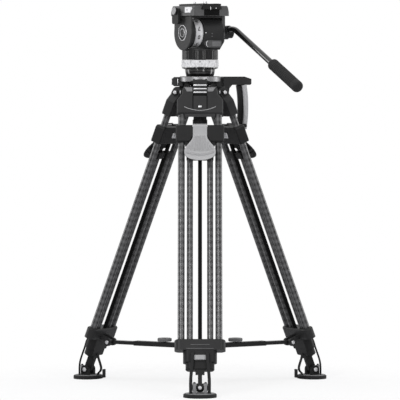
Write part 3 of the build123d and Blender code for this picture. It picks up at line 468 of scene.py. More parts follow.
def lathe(profile, steps):
    """Spin a line of (radius, height) points once round Z."""
    bm = bmesh.new()
    verts = [bm.verts.new((radius, 0, height)) for radius, height in profile]
    edges = [bm.edges.new(pair) for pair in zip(verts, verts[1:])]
    bmesh.ops.spin(bm, geom=verts + edges, cent=(0, 0, 0), axis=UP, angle=2 * math.pi,
                   steps=steps, use_merge=True)
    return bm


def dome(radius, height, rim=0.6):
    """A button head: a short cylinder with a rounded top."""
    return lathe([(0, 0), (radius, 0), (radius, height - rim), (radius - rim * 0.3, height - rim * 0.3),
                  (radius - rim, height), (0, height)], 32)


def block(size, width=0.0, segments=3):
    """A box, with its edges rounded where a width is given."""
    bm = bmesh.new()
    bmesh.ops.create_cube(bm, size=1.0)
    bmesh.ops.scale(bm, vec=size, verts=bm.verts)
    if width:
        sharp = [edge for edge in bm.edges if edge.is_manifold and edge.calc_face_angle() > SHARP]
        bmesh.ops.bevel(bm, geom=sharp, offset=width, affect="EDGES", segments=segments, profile=0.5,
                        material=-1)
    return bm


def wire(points, radius, across=(0, 1, 0), flat=1.0, sides=12):
    """Sweep a section along a line of points, with closed ends. A small flat value makes it a strap."""
    bm = bmesh.new()
    line = [Vector(point) for point in points]
    rings = []
    for at, point in enumerate(line):
        along = (line[min(at + 1, len(line) - 1)] - line[max(at - 1, 0)]).normalized()
        side = (Vector(across) - along * along.dot(across)).normalized()
        turn = Matrix((side, along.cross(side), along)).transposed().to_4x4()
        spot = Matrix.Translation(point) @ turn @ Matrix.Diagonal((1, flat, 1, 1))
        rings.append(bmesh.ops.create_circle(bm, radius=radius, segments=sides, matrix=spot)["verts"])
    for one, two in zip(rings, rings[1:]):
        bmesh.ops.bridge_loops(bm, edges=loop_edges(one) + loop_edges(two))
    for ring in (rings[0], rings[-1]):
        bmesh.ops.contextual_create(bm, geom=loop_edges(ring))
    return bm


def loop_edges(ring):
    inside = set(ring)
    return list({edge for vert in ring for edge in vert.link_edges if edge.other_vert(vert) in inside})


def new_verts(made):
    return [item for item in made["geom"] if isinstance(item, bmesh.types.BMVert)]


print("helpers ready")

# %% [markdown]
# Each release lever is a pressed and painted shell: narrow where it pivots in its housing, flaring
# into a broad paddle that stands away from the tubes so that a finger fits behind it. First its shape
# is put in numbers. One function gives its half width at each distance down the leg, and another how
# far it stands out, with fine finger ribs, a curved lip and a shallow label panel.

# %% Lever shape
LEVER_TOP, LEVER_END = 94.5, 193.5
LEVER_NECK, LEVER_WIDE = 17.5, 38.5
LEVER_REST, LEVER_TIP, TIP_BACK = 15.4, 39.6, 1.5
FLARE_FROM, FLARE_LONG, END_LONG, END_PULL = 122, 44, 22, 36
LEAN_FROM, LEAN_CURVE = 115, 1.15
EDGE_PLAIN, EDGE_FADE = 2, 3
RIBS_FROM, RIBS_TO, RIBS_BOW, RIB_PITCH, RIB_HIGH = 120, 169, 16, 4.0, 0.8
LIP_AT, LIP_HALF, LIP_BOW, LIP_SAG, LIP_HIGH = 177.5, 4, 15, 1.6, 3.4
PANEL_FROM, PANEL_TO, PANEL_HALF, PANEL_EDGE, PANEL_DEEP = 98, 113, 13.5, 1.5, 0.6


def ease(value):
    """A smooth step from 0 to 1."""
    value = min(max(value, 0.0), 1.0)
    return value * value * (3 - 2 * value)


def lever_half(along):
    flare = LEVER_NECK + (LEVER_WIDE - LEVER_NECK) * ease((along - FLARE_FROM) / FLARE_LONG)
    corner = max(along - (LEVER_END - END_LONG), 0) / END_LONG
    return flare - END_PULL * (1 - math.sqrt(max(1 - corner * corner, 0)))


def lever_out(x, along):
    lean = max(along - LEAN_FROM, 0) / (LEVER_END - LEAN_FROM)
    out = LEVER_REST + (LEVER_TIP - LEVER_REST - TIP_BACK) * lean ** LEAN_CURVE
    inside = ease((lever_half(along) - abs(x) - EDGE_PLAIN) / EDGE_FADE)
    lower = ease((RIBS_TO - along - (x / RIBS_BOW) ** 2) / EDGE_FADE)
    ribs = ease((along - RIBS_FROM) / EDGE_FADE) * lower * inside
    lip = ease(1 - abs(along + (x / LIP_BOW) ** 2 * LIP_SAG - LIP_AT) / LIP_HALF) * inside
    rows = ease((along - PANEL_FROM) / PANEL_EDGE) * ease((PANEL_TO - along) / PANEL_EDGE)
    panel = rows * ease((PANEL_HALF - abs(x)) / PANEL_EDGE)
    wave = math.cos(2 * math.pi * x / RIB_PITCH)
    return out + ribs * RIB_HIGH * wave + LIP_HIGH * lip - PANEL_DEEP * panel


print("levers", LEVER_END - LEVER_TOP, "mm long,", 2 * LEVER_WIDE, "mm wide")

# %% [markdown]
# The shell starts as a flat grid whose rows become the lever's length. The grid is bent to the shape
# above, then extruded to its thickness, which is greatest at the pivot. Its front takes the silver-grey
# finish and its back the black one.

# %% Release levers
COLUMNS, ROWS, ROW_CROWD = 140, 92, 1.6
SHELL_THICK, PIVOT_THICK, PIVOT_END, PIVOT_FADE, FLAT_TO = 4.0, 6.5, 128, 8, 132


def lever_shell():
    bm = bmesh.new()
    bmesh.ops.create_grid(bm, x_segments=COLUMNS, y_segments=ROWS, size=1.0)
    for vert in bm.verts:
        left = (1 + vert.co.y) / 2
        along = LEVER_TOP + (1 - left ** ROW_CROWD) * (LEVER_END - LEVER_TOP)
        x = vert.co.x * lever_half(along)
        vert.co = (x, -lever_out(x, along), -along)
    front = set(bm.faces)
    made = bmesh.ops.extrude_face_region(bm, geom=bm.faces[:])
    for face in bm.faces:
        face.material_index = 0 if face in front else 1
    for vert in new_verts(made):
        along = -vert.co.z
        back = SHELL_THICK + PIVOT_THICK * ease((PIVOT_END - along) / PIVOT_FADE)
        vert.co.y = -lever_out(0, along) + back if along < FLAT_TO else vert.co.y + back
    return bm


for leg in LEGS:
    lever = settle(lever_shell(), f"lever_shell_{leg}", LEG[leg], LEVER_PAINT, f"lever_{leg}")
    lever.data.materials.append(MOULDED)
    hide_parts(f"release_lever_{leg}")
print(len(LEGS), "lever shells")

# %% [markdown]
# The two drag rings are turned from bar, knurled for the fingers and anodised silver. A knurl is cut
# by pressing a toothed wheel on the spinning work, so here the lathe's columns are pressed in by turns.
# The numbers are thin dark figures on the rims.

# %% Knurls and numbers
DIGIT_THICK, DIGIT_BOLD, DIGITS = 0.12, 0.03, 8


def knurl(bm, teeth, deep, low, high, least):
    """Press a ring of teeth into the outer band of a turned piece."""
    for vert in bm.verts:
        radius = math.hypot(vert.co.x, vert.co.y)
        if low <= vert.co.z <= high and radius > least:
            tooth = 0.5 - 0.5 * math.cos(teeth * math.atan2(vert.co.y, vert.co.x))
            shrink = 1 - deep * tooth / radius
            vert.co.x *= shrink
            vert.co.y *= shrink
    return bm


def number(text, size, name, matrix, body):
    curve = bpy.data.curves.new(name, "FONT")
    curve.body = text
    curve.size = size
    curve.align_x = curve.align_y = "CENTER"
    curve.extrude = DIGIT_THICK
    curve.offset = size * DIGIT_BOLD
    curve.resolution_u = 4
    holder = bpy.data.objects.new(name + "_curve", curve)
    bm = bmesh.new()
    bm.from_mesh(holder.to_mesh())
    holder.to_mesh_clear()
    bpy.data.objects.remove(holder)
    settle(bm, name, matrix, DARK_PAINT, body)


def scale_ring(count, size, body, matrix, radius, height, turn):
    """Numbers evenly round a ring, each laid on its rim."""
    for step in range(count):
        around = matrix @ Matrix.Rotation(math.radians(360 / count * step), 4, "Z")
        spot = moved(around, radius, 0, height, turn)
        number(str(step % DIGITS), size, f"{body}_number_{step}", spot, body)


print("knurls ready")

# %% [markdown]
# The pan ring's lower band is coarsely toothed. Above it a plain band, turned a millimetre smaller,
# carries the numbers.

# %% Pan ring
RING_LOW, RING_HIGH = (corner[2] / MM - PAN_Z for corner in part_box("pan_drag_ring"))
RING_R, RING_BORE, RING_EDGE, RING_STEP, NUMBER_BAND = 47.0, 16.0, 1.2, 1.0, 10.4
TEETH, TOOTH_DEEP, TOOTH_COLUMNS = 30, 2.2, 16
band = [RING_LOW + RING_EDGE + step * (RING_HIGH - RING_LOW - NUMBER_BAND) / 2 for step in range(3)]
profile = [(RING_BORE, RING_LOW), (RING_R - RING_EDGE, RING_LOW)] + [(RING_R, height) for height in band]
profile += [(RING_R - RING_STEP, band[2] + 0.8), (RING_R - RING_STEP, RING_HIGH - 1.0),
            (RING_R - 2.0, RING_HIGH), (RING_BORE, RING_HIGH), (RING_BORE, RING_LOW)]
bm = lathe(profile, TOOTH_COLUMNS * TEETH)
knurl(bm, TEETH, TOOTH_DEEP, band[0] - 0.1, band[2] + 0.1, RING_R - 0.5)
ring = settle(bm, "pan_ring_turned", PAN, PALE_ANODISING, "pan_ring")
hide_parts("pan_drag_ring")
scale_ring(12, 6.6, "pan_ring", PAN, RING_R - RING_STEP, RING_HIGH - 4.4, (90, 0, 90))
print("pan ring", RING_HIGH - RING_LOW, "mm tall with", TEETH, "teeth")

# %% [markdown]
# The tilt dial sits between the left cheek and the body, so only its rim shows: a narrow knurled flange
# on each side, and between them a smooth band that carries the numbers.

# %% Tilt dial
DIAL = moved(HEAD, turn=(0, 90, 0))
DIAL_LOW, DIAL_HIGH, DIAL_R, DIAL_BORE = -33.2, -9.4, 35.0, 14.6
FLANGE, GROOVE, DIAL_EDGE, DIAL_EASE = 4.2, 1.0, 1.2, 1.4
DIAL_TEETH, DIAL_DEEP = 80, 0.7
profile = [(DIAL_BORE, DIAL_LOW), (DIAL_R - DIAL_EASE, DIAL_LOW), (DIAL_R, DIAL_LOW + DIAL_EDGE),
           (DIAL_R, DIAL_LOW + FLANGE), (DIAL_R - GROOVE, DIAL_LOW + FLANGE + GROOVE),
           (DIAL_R - GROOVE, DIAL_HIGH - FLANGE - GROOVE), (DIAL_R, DIAL_HIGH - FLANGE),
           (DIAL_R, DIAL_HIGH - DIAL_EDGE), (DIAL_R - DIAL_EASE, DIAL_HIGH), (DIAL_BORE, DIAL_HIGH),
           (DIAL_BORE, DIAL_LOW)]
bm = lathe(profile, 4 * DIAL_TEETH)
knurl(bm, DIAL_TEETH, DIAL_DEEP, DIAL_LOW + 1.1, DIAL_HIGH - 1.1, DIAL_R - 0.5)
dial = settle(bm, "tilt_dial_turned", DIAL, PALE_ANODISING, "tilt_dial")
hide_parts("tilt_drag_dial")
scale_ring(10, 14.0, "tilt_dial", DIAL, DIAL_R - GROOVE, (DIAL_LOW + DIAL_HIGH) / 2, (0, 90, 0))
print("tilt dial", DIAL_HIGH - DIAL_LOW, "mm wide")

# %% [markdown]
# The pan bar's grip is a rubber sleeve moulded with shallow grooves, a flared collar where it meets
# the bar and a domed end. One turned profile makes it.

# %% Pan bar grip
BAR_X, BAR_RISE, BAR_BEND, BAR_DROP, BAR_SLOPE = 68.4, 9.0, -55.0, 25.4, 202.0
GRIP_R, GRIP_L, BAR_R, GRIP_DOME = 14.5, 135.0, 7.5, 8
GROOVES, GROOVE_FROM, GROOVE_PITCH, GROOVE_DEEP = 15, 14.0, 6.6, 1.0
drop = math.radians(BAR_DROP)
GRIP = moved(HEAD, BAR_X, BAR_BEND - BAR_SLOPE * math.cos(drop), BAR_RISE - BAR_SLOPE * math.sin(drop),
             (90 + BAR_DROP, 0, 0))
valley, crest = GRIP_R - GROOVE_DEEP, GRIP_R - 0.1
profile = [(BAR_R + 0.1, 0), (GRIP_R - 3.0, 0), (GRIP_R - 0.6, 1.2), (GRIP_R, 3.5), (GRIP_R, 9.0),
           (valley, 10.5)]
for groove in range(GROOVES):
    start = GROOVE_FROM + groove * GROOVE_PITCH
    profile += [(valley, start), (crest, start + 0.9), (crest, start + 4.2), (valley, start + 5.1)]
profile += [(valley, GRIP_L - 21), (GRIP_R, GRIP_L - 19), (GRIP_R, GRIP_L - GRIP_DOME)]
for turn in (0.3, 0.6, 0.9, 1.2, 1.5):
    round_out, round_up = GRIP_DOME * math.cos(turn), GRIP_DOME * math.sin(turn)
    profile += [(GRIP_R - GRIP_DOME + round_out, GRIP_L - GRIP_DOME + round_up)]
profile += [(0, GRIP_L)]
grip = settle(lathe(profile, 72), "pan_bar_grip_sleeve", GRIP, RUBBER, "bar")
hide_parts("pan_bar_grip")
print("grip with", GROOVES, "ribs")

# %% [markdown]
# The carry handle is a padded rubber bow: one rounded section spun through the bow's small angle, with
# dimpled side pads spun the same way.

# %% Carry handle
BOW = axes_at((0, AXIS_Y, 0), JOINTS["leg_right_fold"]["axis"], UP)
BOW_R, BOW_BULGE, BOW_LOW, BOW_HIGH = 119.5, 5.0, 640.0, 750.0
BOW_W, BOW_T, BOW_ROUND = 36.0, 16.0, 0.5
PAD_W, PAD_IN, PAD_THIN = 8.0, 4, 3


def bow(wide, thick, side=0.0):
    """Spin a rounded section through the bow of the carry handle."""
    half = (BOW_HIGH - BOW_LOW) / 2
    radius = (half * half + BOW_BULGE * BOW_BULGE) / (2 * BOW_BULGE)
    angle = math.asin(half / radius)
    centre = Vector((0, radius - BOW_R - BOW_BULGE, (BOW_LOW + BOW_HIGH) / 2))
    bm = bmesh.new()
    ring = bmesh.ops.create_circle(bm, radius=1.0, segments=40)["verts"]
    for vert in ring:
        x = math.copysign(abs(vert.co.x) ** BOW_ROUND, vert.co.x) * wide / 2 + side
        y = math.copysign(abs(vert.co.y) ** BOW_ROUND, vert.co.y) * thick / 2 - radius
        vert.co = centre + Vector((x, y * math.cos(angle), y * math.sin(angle)))
    edges = loop_edges(ring)
    swept = bmesh.ops.spin(bm, geom=ring + edges, cent=centre, axis=EAST, angle=-2 * angle, steps=24)
    last = [item for item in swept["geom_last"] if isinstance(item, bmesh.types.BMEdge)]
    for loop in (edges, last):
        bmesh.ops.contextual_create(bm, geom=loop)
    return bm


handle = settle(bow(BOW_W - 4, BOW_T), "carry_handle_core", BOW, RUBBER, "leg_right")
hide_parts("carry_handle")
for word, side in {"near": -1, "far": 1}.items():
    pad = settle(bow(PAD_W, BOW_T - PAD_THIN, side * (BOW_W / 2 - PAD_IN)), f"carry_handle_pad_{word}",
                 BOW, DIMPLED, "leg_right")
print("handle", BOW_HIGH - BOW_LOW, "mm tall")

# %% [markdown]
# The shoulder casting of each leg is trimmed: pale facets over its rounded crest, two upright seams, an
# embossed smile line and a small latch. The facets follow the crest, so each is a grid whose rows are
# wrapped round the hinge pin and then thickened. The other pieces are blocks and a bent wire on the
# casting's flat face.

# %% Shoulder trim
CREST_R, CREST_MIDDLE, CREST_SPREAD, CREST_TAPER, CREST_LIFT = 13.0, 24, 36, 4, 1.07
FACET_NEAR, FACET_FAR = 19.0, 40.5
LEG_FACE = -13.0
SEAM_OUT, SEAM_DOWN, BOLT_OUT, LATCH_DOWN = 17.5, -31, 48.6, -43
SMILE_HALF, SMILE_DOWN, SMILE_RISE = 39, -53, 10
SMILE = [(x, LEG_FACE, SMILE_DOWN + SMILE_RISE * (x / SMILE_HALF) ** 2)
         for x in range(-SMILE_HALF, SMILE_HALF + 1, 3)]


def crest_facet(side):
    """A thin panel wrapped over the crest, narrower at its lower edge."""
    bm = bmesh.new()
    bmesh.ops.create_grid(bm, x_segments=1, y_segments=10, size=1.0)
    for vert in bm.verts:
        turn = math.radians(CREST_MIDDLE + CREST_SPREAD * vert.co.y)
        wide = FACET_FAR - FACET_NEAR - CREST_TAPER * (1 - vert.co.y)
        x = FACET_NEAR + wide * (vert.co.x + 1) / 2
        vert.co = (side * x, -CREST_R * math.cos(turn), CREST_R * math.sin(turn))
    made = bmesh.ops.extrude_face_region(bm, geom=bm.faces[:])
    bmesh.ops.scale(bm, vec=(1, CREST_LIFT, CREST_LIFT), verts=new_verts(made))
    return bm


for leg in LEGS:
    body, shin = f"leg_{leg}", LEG[leg]
    for word, side in SIDES.items():
        end = f"{leg}_{word}"
        settle(crest_facet(side), f"shoulder_facet_{end}", shin, SLATE, body)
        seam = moved(shin, side * SEAM_OUT, LEG_FACE, SEAM_DOWN)
        settle(block((2.4, 0.8, 34), 0.3, 2), f"shoulder_seam_{end}", seam, BLACKENED, body)
        settle(dome(4.6, 1.5), f"hinge_bolt_cap_{end}", on_x(shin, side, BOLT_OUT), SILVER, "crown")
    settle(wire(SMILE, 0.8), f"shoulder_smile_{leg}", shin, LEVER_PAINT, body)
    latch = moved(shin, y=LEG_FACE, z=LATCH_DOWN)
    settle(block((9, 3, 5), 0.8), f"shoulder_latch_{leg}", latch, PALE_METAL, body)
print("shoulder trim on", len(LEGS), "legs")

# %% [markdown]
# Three bright bars cross the neck between the crown and each shoulder, like louvres. They sit on the
# crown: two on the flat of the neck and one on the eye that the hinge pin goes through.

# %% Neck louvres
HINGE_HIGH = JOINTS["leg_front_fold"]["pos_m"][2]
LOUVRES = ((50.0, 18.0), (50.6, 9.0), (55.0, 0.5))
for leg in LEGS:
    neck = axes_at((0, AXIS_Y, HINGE_HIGH), JOINTS[f"leg_{leg}_fold"]["axis"], UP)
    for row, (out, rise) in enumerate(LOUVRES):
        spot = moved(neck, y=-out, z=rise)
        settle(block((33, 1.8, 3.4), 0.7), f"neck_louvre_{leg}_{row}", spot, PALE_METAL, "crown")
print(len(LOUVRES), "louvres on each neck")

# %% [markdown]
# Each lever housing has a pale strip over the lever's pivot and, on its inner face, the bright end of
# the lever's cam. Below it a black cover closes the yoke that joins the two inner tubes. The cover is in
# three blocks, which leave the slot for the control rod open. The rod itself is blackened, so a thin
# sleeve goes over it between the housing and the brake block.

# %% Lever housings
ROD_IN, ROD_R, ROD_TOP, ROD_END, ROD_SKIN = 6.0, 4.75, 130.0, 645.5, 0.2
STRIP_OUT, STRIP_DOWN, CAM_IN, CAM_DOWN = -12.5, -90.6, 13.4, -112
YOKE_DOWN, COVER_OUT, COVER_IN, COVER_SIDE = -170, -4.1, 4.0, 20.7
ROD_LONG, SKIN_IN, SKIN_OUT = ROD_END - ROD_TOP, ROD_R - ROD_SKIN, ROD_R + ROD_SKIN
ROD_PROFILE = [(SKIN_IN, 0), (SKIN_OUT, 0), (SKIN_OUT, ROD_LONG), (SKIN_IN, ROD_LONG), (SKIN_IN, 0)]
for leg in LEGS:
    body, yoke, shin = f"leg_{leg}", f"lower_{leg}", LEG[leg]
    rod = moved(shin, y=ROD_IN, z=-ROD_END)
    settle(lathe(ROD_PROFILE, 40), f"rod_sleeve_{leg}", rod, BLACKENED, body)
    strip = moved(shin, y=STRIP_OUT, z=STRIP_DOWN)
    settle(block((36, 3.2, 3.6), 1.0), f"housing_strip_{leg}", strip, LEVER_PAINT, body)
    cam = moved(shin, y=CAM_IN, z=CAM_DOWN)
    settle(block((22, 3.4, 15), 1.5), f"lever_cam_{leg}", cam, PALE_METAL, body)
    cover = moved(shin, y=COVER_OUT, z=YOKE_DOWN)
    settle(block((66.8, 8.0, 17), 1.2), f"yoke_cover_{leg}_front", cover, MOULDED, yoke)
    for word, side in SIDES.items():
        cover = moved(shin, side * COVER_SIDE, COVER_IN, YOKE_DOWN)
        settle(block((25.4, 8.2, 17), 1.2), f"yoke_cover_{leg}_{word}", cover, MOULDED, yoke)
print("covers on", len(LEGS), "housings")

# %% [markdown]
# Bright caps close the spreader's lug bolt and the foot's pin. On the foot two pale posts with dark
# heads stand in front of the ears, and a thin grey disc on the pad paints the light on the pad's top.
# The lower block has a pale latch in a dark recess, and two moulded seams cross the front of the brake
# block.

# %% Seams, latches and caps
LUG_OUT, LUG_IN, LUG_DOWN = 17.4, 35, -671.8
WASHER_OUT, PIN_OUT, POST_OUT, POST_FRONT = 17.3, 17.4, 13.4, -9.4
POST_MIDDLE, POST_TOP = -1.8, 11
PAD_HIGH = 9.0 - JOINTS["foot_front_swivel"]["pos_m"][2] / MM
LIT_TOP_PROFILE, LIT_TOP_STRETCH = [(0, -0.4), (33.0, -0.4), (33.6, 0.3), (33.0, 0.8), (0, 0.8)], (1.125, 1, 1)
LATCH_Z, LATCH_FRONT = -692, -13.6
SEAMS = {659.6: 46.0, 669.6: 66.0}
for leg in LEGS:
    body, lower, foot = f"leg_{leg}", f"lower_{leg}", f"foot_{leg}"
    shin, heel = LEG[leg], FOOT[leg]
    for word, side in SIDES.items():
        end = f"{leg}_{word}"
        settle(dome(5.0, 1.6), f"lug_cap_{end}", on_x(shin, side, LUG_OUT, LUG_IN, LUG_DOWN), SILVER, body)
        settle(dome(9.0, 1.0), f"foot_washer_{end}", on_x(heel, side, WASHER_OUT), MOULDED, foot)
        settle(dome(5.6, 2.4), f"foot_pin_cap_{end}", on_x(heel, side, PIN_OUT), SILVER, foot)
        post = moved(heel, side * POST_OUT, POST_FRONT, POST_MIDDLE)
        settle(block((7.4, 6, 26), 1.0), f"foot_post_{end}", post, GREY_RUBBER, foot)
        post = moved(heel, side * POST_OUT, POST_FRONT, POST_TOP)
        settle(dome(2.8, 3.0, 1.2), f"foot_post_head_{end}", post, MOULDED, foot)
    pin = moved(heel, y=POST_FRONT, turn=(90, 0, 0))
    settle(dome(4.4, 1.6), f"tongue_pin_{leg}", pin, SILVER, lower)
    # The thin grey disc is painted light: it lightens the pad's top, where the light from above falls.
    top = lathe(LIT_TOP_PROFILE, 72)
    bmesh.ops.scale(top, vec=LIT_TOP_STRETCH, verts=top.verts)
    settle(top, f"foot_pad_lit_top_{leg}", moved(heel, z=PAD_HIGH), GREY_RUBBER, foot)
    recess, latch = moved(shin, y=LEG_FACE, z=LATCH_Z), moved(shin, y=LATCH_FRONT, z=LATCH_Z)
    settle(block((38, 1.2, 19), 0.5), f"latch_recess_{leg}", recess, ANODISED, lower)
    settle(block((29, 2.6, 12), 1.0), f"latch_{leg}", latch, LEVER_PAINT, lower)
    for row, (along, long) in enumerate(SEAMS.items()):
        seam = moved(shin, y=LEG_FACE, z=-along)
        settle(block((long, 1.2, 1.3), 0.4, 2), f"block_seam_{leg}_{row}", seam, GREY_PLASTIC, body)
print("seams and caps on", len(LEGS), "legs")

# %% [markdown]
# Rubber straps hold the foot to its block: a pair at the front that starts beside the latch and runs
# down past the pin, and one at the back that bulges and ends at an eyelet, with an upright tab behind it.
# They are moulded in one piece with the pad, so each is a flat section swept along a smooth line.

# %% Foot straps
FRONT_STRAP = [(17.2, 19.5, 84), (17.4, 14.5, 83.5), (17.7, 9.5, 79), (18.1, 5.5, 70), (19.0, 2.0, 58),
               (20.3, -2.5, 45), (21.5, -7, 32), (22.3, -10.5, 19), (22.5, -12, 5), (22.3, -12, -14.8)]
REAR_STRAP = [(0, 29, 44), (0, 31, 30), (0, 36, 16), (0, 39, 5), (0, 37, -3), (0, 31, -9), (0, 29, -14.8)]
STRAPS = {"west": ([(-x, y, z) for x, y, z in FRONT_STRAP], 3.9), "east": (FRONT_STRAP, 3.9),
          "rear": (REAR_STRAP, 5.0)}
STRAP_FLAT = 0.42
STRAP_HELD, STRAP_LOOSE = Vector((0, 16, 40)), Vector((0, 0, 0))
EYELET = [(2.0, 0), (3.8, 0), (3.8, 0.9), (2.0, 0.9), (2.0, 0)]


def through(points, steps=6):
    """A smooth line through a few points."""
    line = [Vector(point) for point in points]
    ends = [2 * line[0] - line[1]] + line + [2 * line[-1] - line[-2]]
    made = []
    for before, one, two, after in zip(ends, ends[1:], ends[2:], ends[3:]):
        for step in range(steps):
            t = step / steps
            made.append(one + (two - before) * (t / 2)
                        + (before - one * 2.5 + two * 2 - after * 0.5) * t ** 2
                        + ((one - two) * 1.5 + (after - before) * 0.5) * t ** 3)
    return made + [line[-1]]


for leg in LEGS:
    foot, heel = f"foot_{leg}", FOOT[leg]
    for word, (points, half) in STRAPS.items():
        bm = wire(through(points), half, EAST, STRAP_FLAT, 16)
        strap = settle(bm, f"foot_strap_{leg}_{word}", heel, RUBBER, None)
        heel @ STRAP_HELD
        heel @ STRAP_LOOSE
        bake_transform(strap)
    settle(block((12, 4, 22), 1.4), f"foot_tab_{leg}", moved(heel, y=47.5, z=-9), RUBBER, foot)
    settle(block((9, 18, 3.4), 1.0), f"foot_tongue_{leg}", moved(heel, y=40, z=-18), RUBBER, foot)
    eye = moved(heel, y=38.8, z=3, turn=(-90, 0, 0))
    settle(lathe(EYELET, 24), f"foot_eyelet_{leg}", eye, STEEL, foot)
print(len(STRAPS), "straps on each foot")

# %% [markdown]
# The spreader's clamp knobs are moulded with coarse teeth for cold fingers. Each is turned, then its
# rim is pressed into teeth, and a small disc marks its middle.

# %% Spreader knobs
KNOB_R, KNOB_EDGE, KNOB_DISH = 18.0, 1.5, 1.0
KNOB_TEETH, KNOB_DEEP, KNOB_COLUMNS = 30, 1.3, 8
for leg in LEGS:
    joint, body = JOINTS[f"spreader_{leg}_knob_turn"], f"arm_knob_{leg}"
    tall = (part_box(f"spreader_knob_{leg}")[1][2] - joint["pos_m"][2]) / MM
    spot = axes_at(joint["pos_m"], JOINTS[f"leg_{leg}_fold"]["axis"], UP)
    profile = [(0, 0), (KNOB_R - KNOB_EDGE, 0), (KNOB_R, KNOB_EDGE), (KNOB_R, tall / 2),
               (KNOB_R, tall - KNOB_EDGE), (KNOB_R - KNOB_EDGE, tall), (KNOB_R - 4, tall - 0.4),
               (KNOB_R - 7, tall - KNOB_DISH), (0, tall - KNOB_DISH)]
    bm = lathe(profile, KNOB_COLUMNS * KNOB_TEETH)
    knurl(bm, KNOB_TEETH, KNOB_DEEP, 1.4, tall - 1.4, KNOB_R - 0.6)
    knob = settle(bm, f"spreader_knob_turned_{leg}", spot, GREY_PLASTIC, body)
    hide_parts(f"spreader_knob_{leg}")
    settle(dome(5.0, 0.7), f"spreader_knob_mark_{leg}", moved(spot, z=tall - 1.1), ANODISED, body)
print("knobs with", KNOB_TEETH, "teeth")

# %% [markdown]
# On the head, the left cheek carries a plain round cap, turned with two bright rims. Dots and a line
# on the housing and the plate are the index marks that show where a scale is read.

# %% Cheek cap and index marks
CHEEK_X, RIM_TALL, CAP_R = -50.0, 1.3, 18.15
CHEEK = moved(HEAD, CHEEK_X, turn=(0, -90, 0))
RIMS = {"outer": (19.75, 1.6), "inner": (11.0, 1.2)}
for word, (radius, wide) in RIMS.items():
    least = radius - wide
    profile = [(least, 0), (radius, 0), (radius, RIM_TALL * 0.6), (radius - wide * 0.3, RIM_TALL),
               (least, RIM_TALL), (least, 0)]
    settle(lathe(profile, 96), f"cheek_rim_{word}", CHEEK, PALE_METAL, "cradle")
settle(dome(CAP_R, 0.8), "cheek_cap", CHEEK, ANODISED, "cradle")

PLATE_END, PLATE_RISE, BODY_FACE = -60.0, 61.0, -41.0
line = moved(HEAD, -4, PLATE_END, PLATE_RISE)
settle(block((1.4, 0.4, 7)), "plate_index_line", line, WHITE_PAINT, "plate")
MARKS = {"plate_index_dot": (11.5, PLATE_END, PLATE_RISE, WHITE_PAINT, "plate"),
         "body_dot_index": (-6.5, BODY_FACE, 0, WHITE_PAINT, "head"),
         "body_dot_upper": (11, BODY_FACE, -1.5, GREY_PLASTIC, "head"),
         "body_dot_lower": (11, BODY_FACE, -8.5, GREY_PLASTIC, "head")}
for name, (x, y, z, finish, body) in MARKS.items():
    settle(dome(1.3, 0.5, 0.2), name, moved(HEAD, x, y, z, (90, 0, 0)), finish, body)
print("head trim with", len(MARKS), "index dots")

# %% [markdown]
# The plate has two rubber strips for the camera to stand on. On the platform below it there are lips at
# the front and rear, a black sheet in front that paints the shade of a cut-out, a dot on the release
# button and a knurled cap on the plate's lock. The brake lever has a pale arc, a painted highlight on
# the rounded edge of its pivot, and a ribbed pad.

# %% Platform and brake trim
PLATE_TOP, STRIP_X = 72.1, 17
BUTTON, LOCK = (-57.9, -36, 56.5), (-65.6, 14, 54)
LOCK_PROFILE = [(0, 0), (9.2, 0), (9.6, 0.6), (9.6, 2.6), (8.8, 3.4), (0, 3.4)]
LOCK_TEETH, LOCK_DEEP = 40, 0.5
LIP_X, LIP_OUT, LIP_RISE, SLOT_SHADE_SPOT = 1.4, 24.0, 40.0, (2.0, -54.7, 50.2)
for word, side in SIDES.items():
    strip = moved(HEAD, side * STRIP_X, 0, PLATE_TOP)
    settle(block((13, 112, 1.0), 0.4, 2), f"plate_rubber_{word}", strip, RUBBER, "plate")
settle(dome(2.6, 0.7, 0.3), "button_dot", moved(HEAD, *BUTTON, (0, -90, 0)), LEVER_PAINT, "button")
cap = knurl(lathe(LOCK_PROFILE, 4 * LOCK_TEETH), LOCK_TEETH, LOCK_DEEP, 0.5, 2.7, 9.4)
settle(cap, "lock_cap", moved(HEAD, *LOCK, (0, -90, 0)), DULL_METAL, "plate_lock")
for word, side in {"front": -1, "rear": 1}.items():
    lip = moved(HEAD, LIP_X, side * LIP_OUT, LIP_RISE)
    settle(block((95.4, 2, 6), 0.4), f"platform_lip_{word}", lip, CASTING, "cradle")
# The black sheet is painted shade: it darkens the platform's front where a cut-out lies in shade.
settle(block((44, 1.6, 15), 0.5), "platform_slot_shade", moved(HEAD, *SLOT_SHADE_SPOT), BLACKENED, "cradle")

BRAKE = moved(HEAD, -3, -51.0, -27.5, (90, 0, 0))
ARC_R, ARC_STEP, PAD_X = 8.4, 0.18, 21.5
turns = [step * ARC_STEP for step in range(-6, 7)]
HIGHLIGHT_ARC = [(-ARC_R * math.cos(turn), ARC_R * math.sin(turn), 0.2) for turn in turns]
# The pale arc is a painted highlight: it brightens the rounded edge of the brake lever's pivot.
settle(wire(HIGHLIGHT_ARC, 0.8, UP), "brake_arc_highlight", BRAKE, PALE_METAL, "brake")
settle(block((24, 12, 2.0), 0.9), "brake_pad", moved(BRAKE, PAD_X, 0, -1.2), GREY_PLASTIC, "brake")
for row in (-3, 0, 3):
    rib = moved(BRAKE, PAD_X, row, -0.1)
    settle(block((20, 1.4, 0.9), 0.3, 2), f"brake_rib_{row + 3}", rib, GREY_PLASTIC, "brake")
print("brake arc of", len(HIGHLIGHT_ARC), "points")

# %% [markdown]
# The pan base is a casting with upright ribs all round, and the crown below it wears a paler band whose
# lower edge arches over each leg. Thin turned sleeves make both. The accessory boss has a bright bush
# and a bright line beside it.

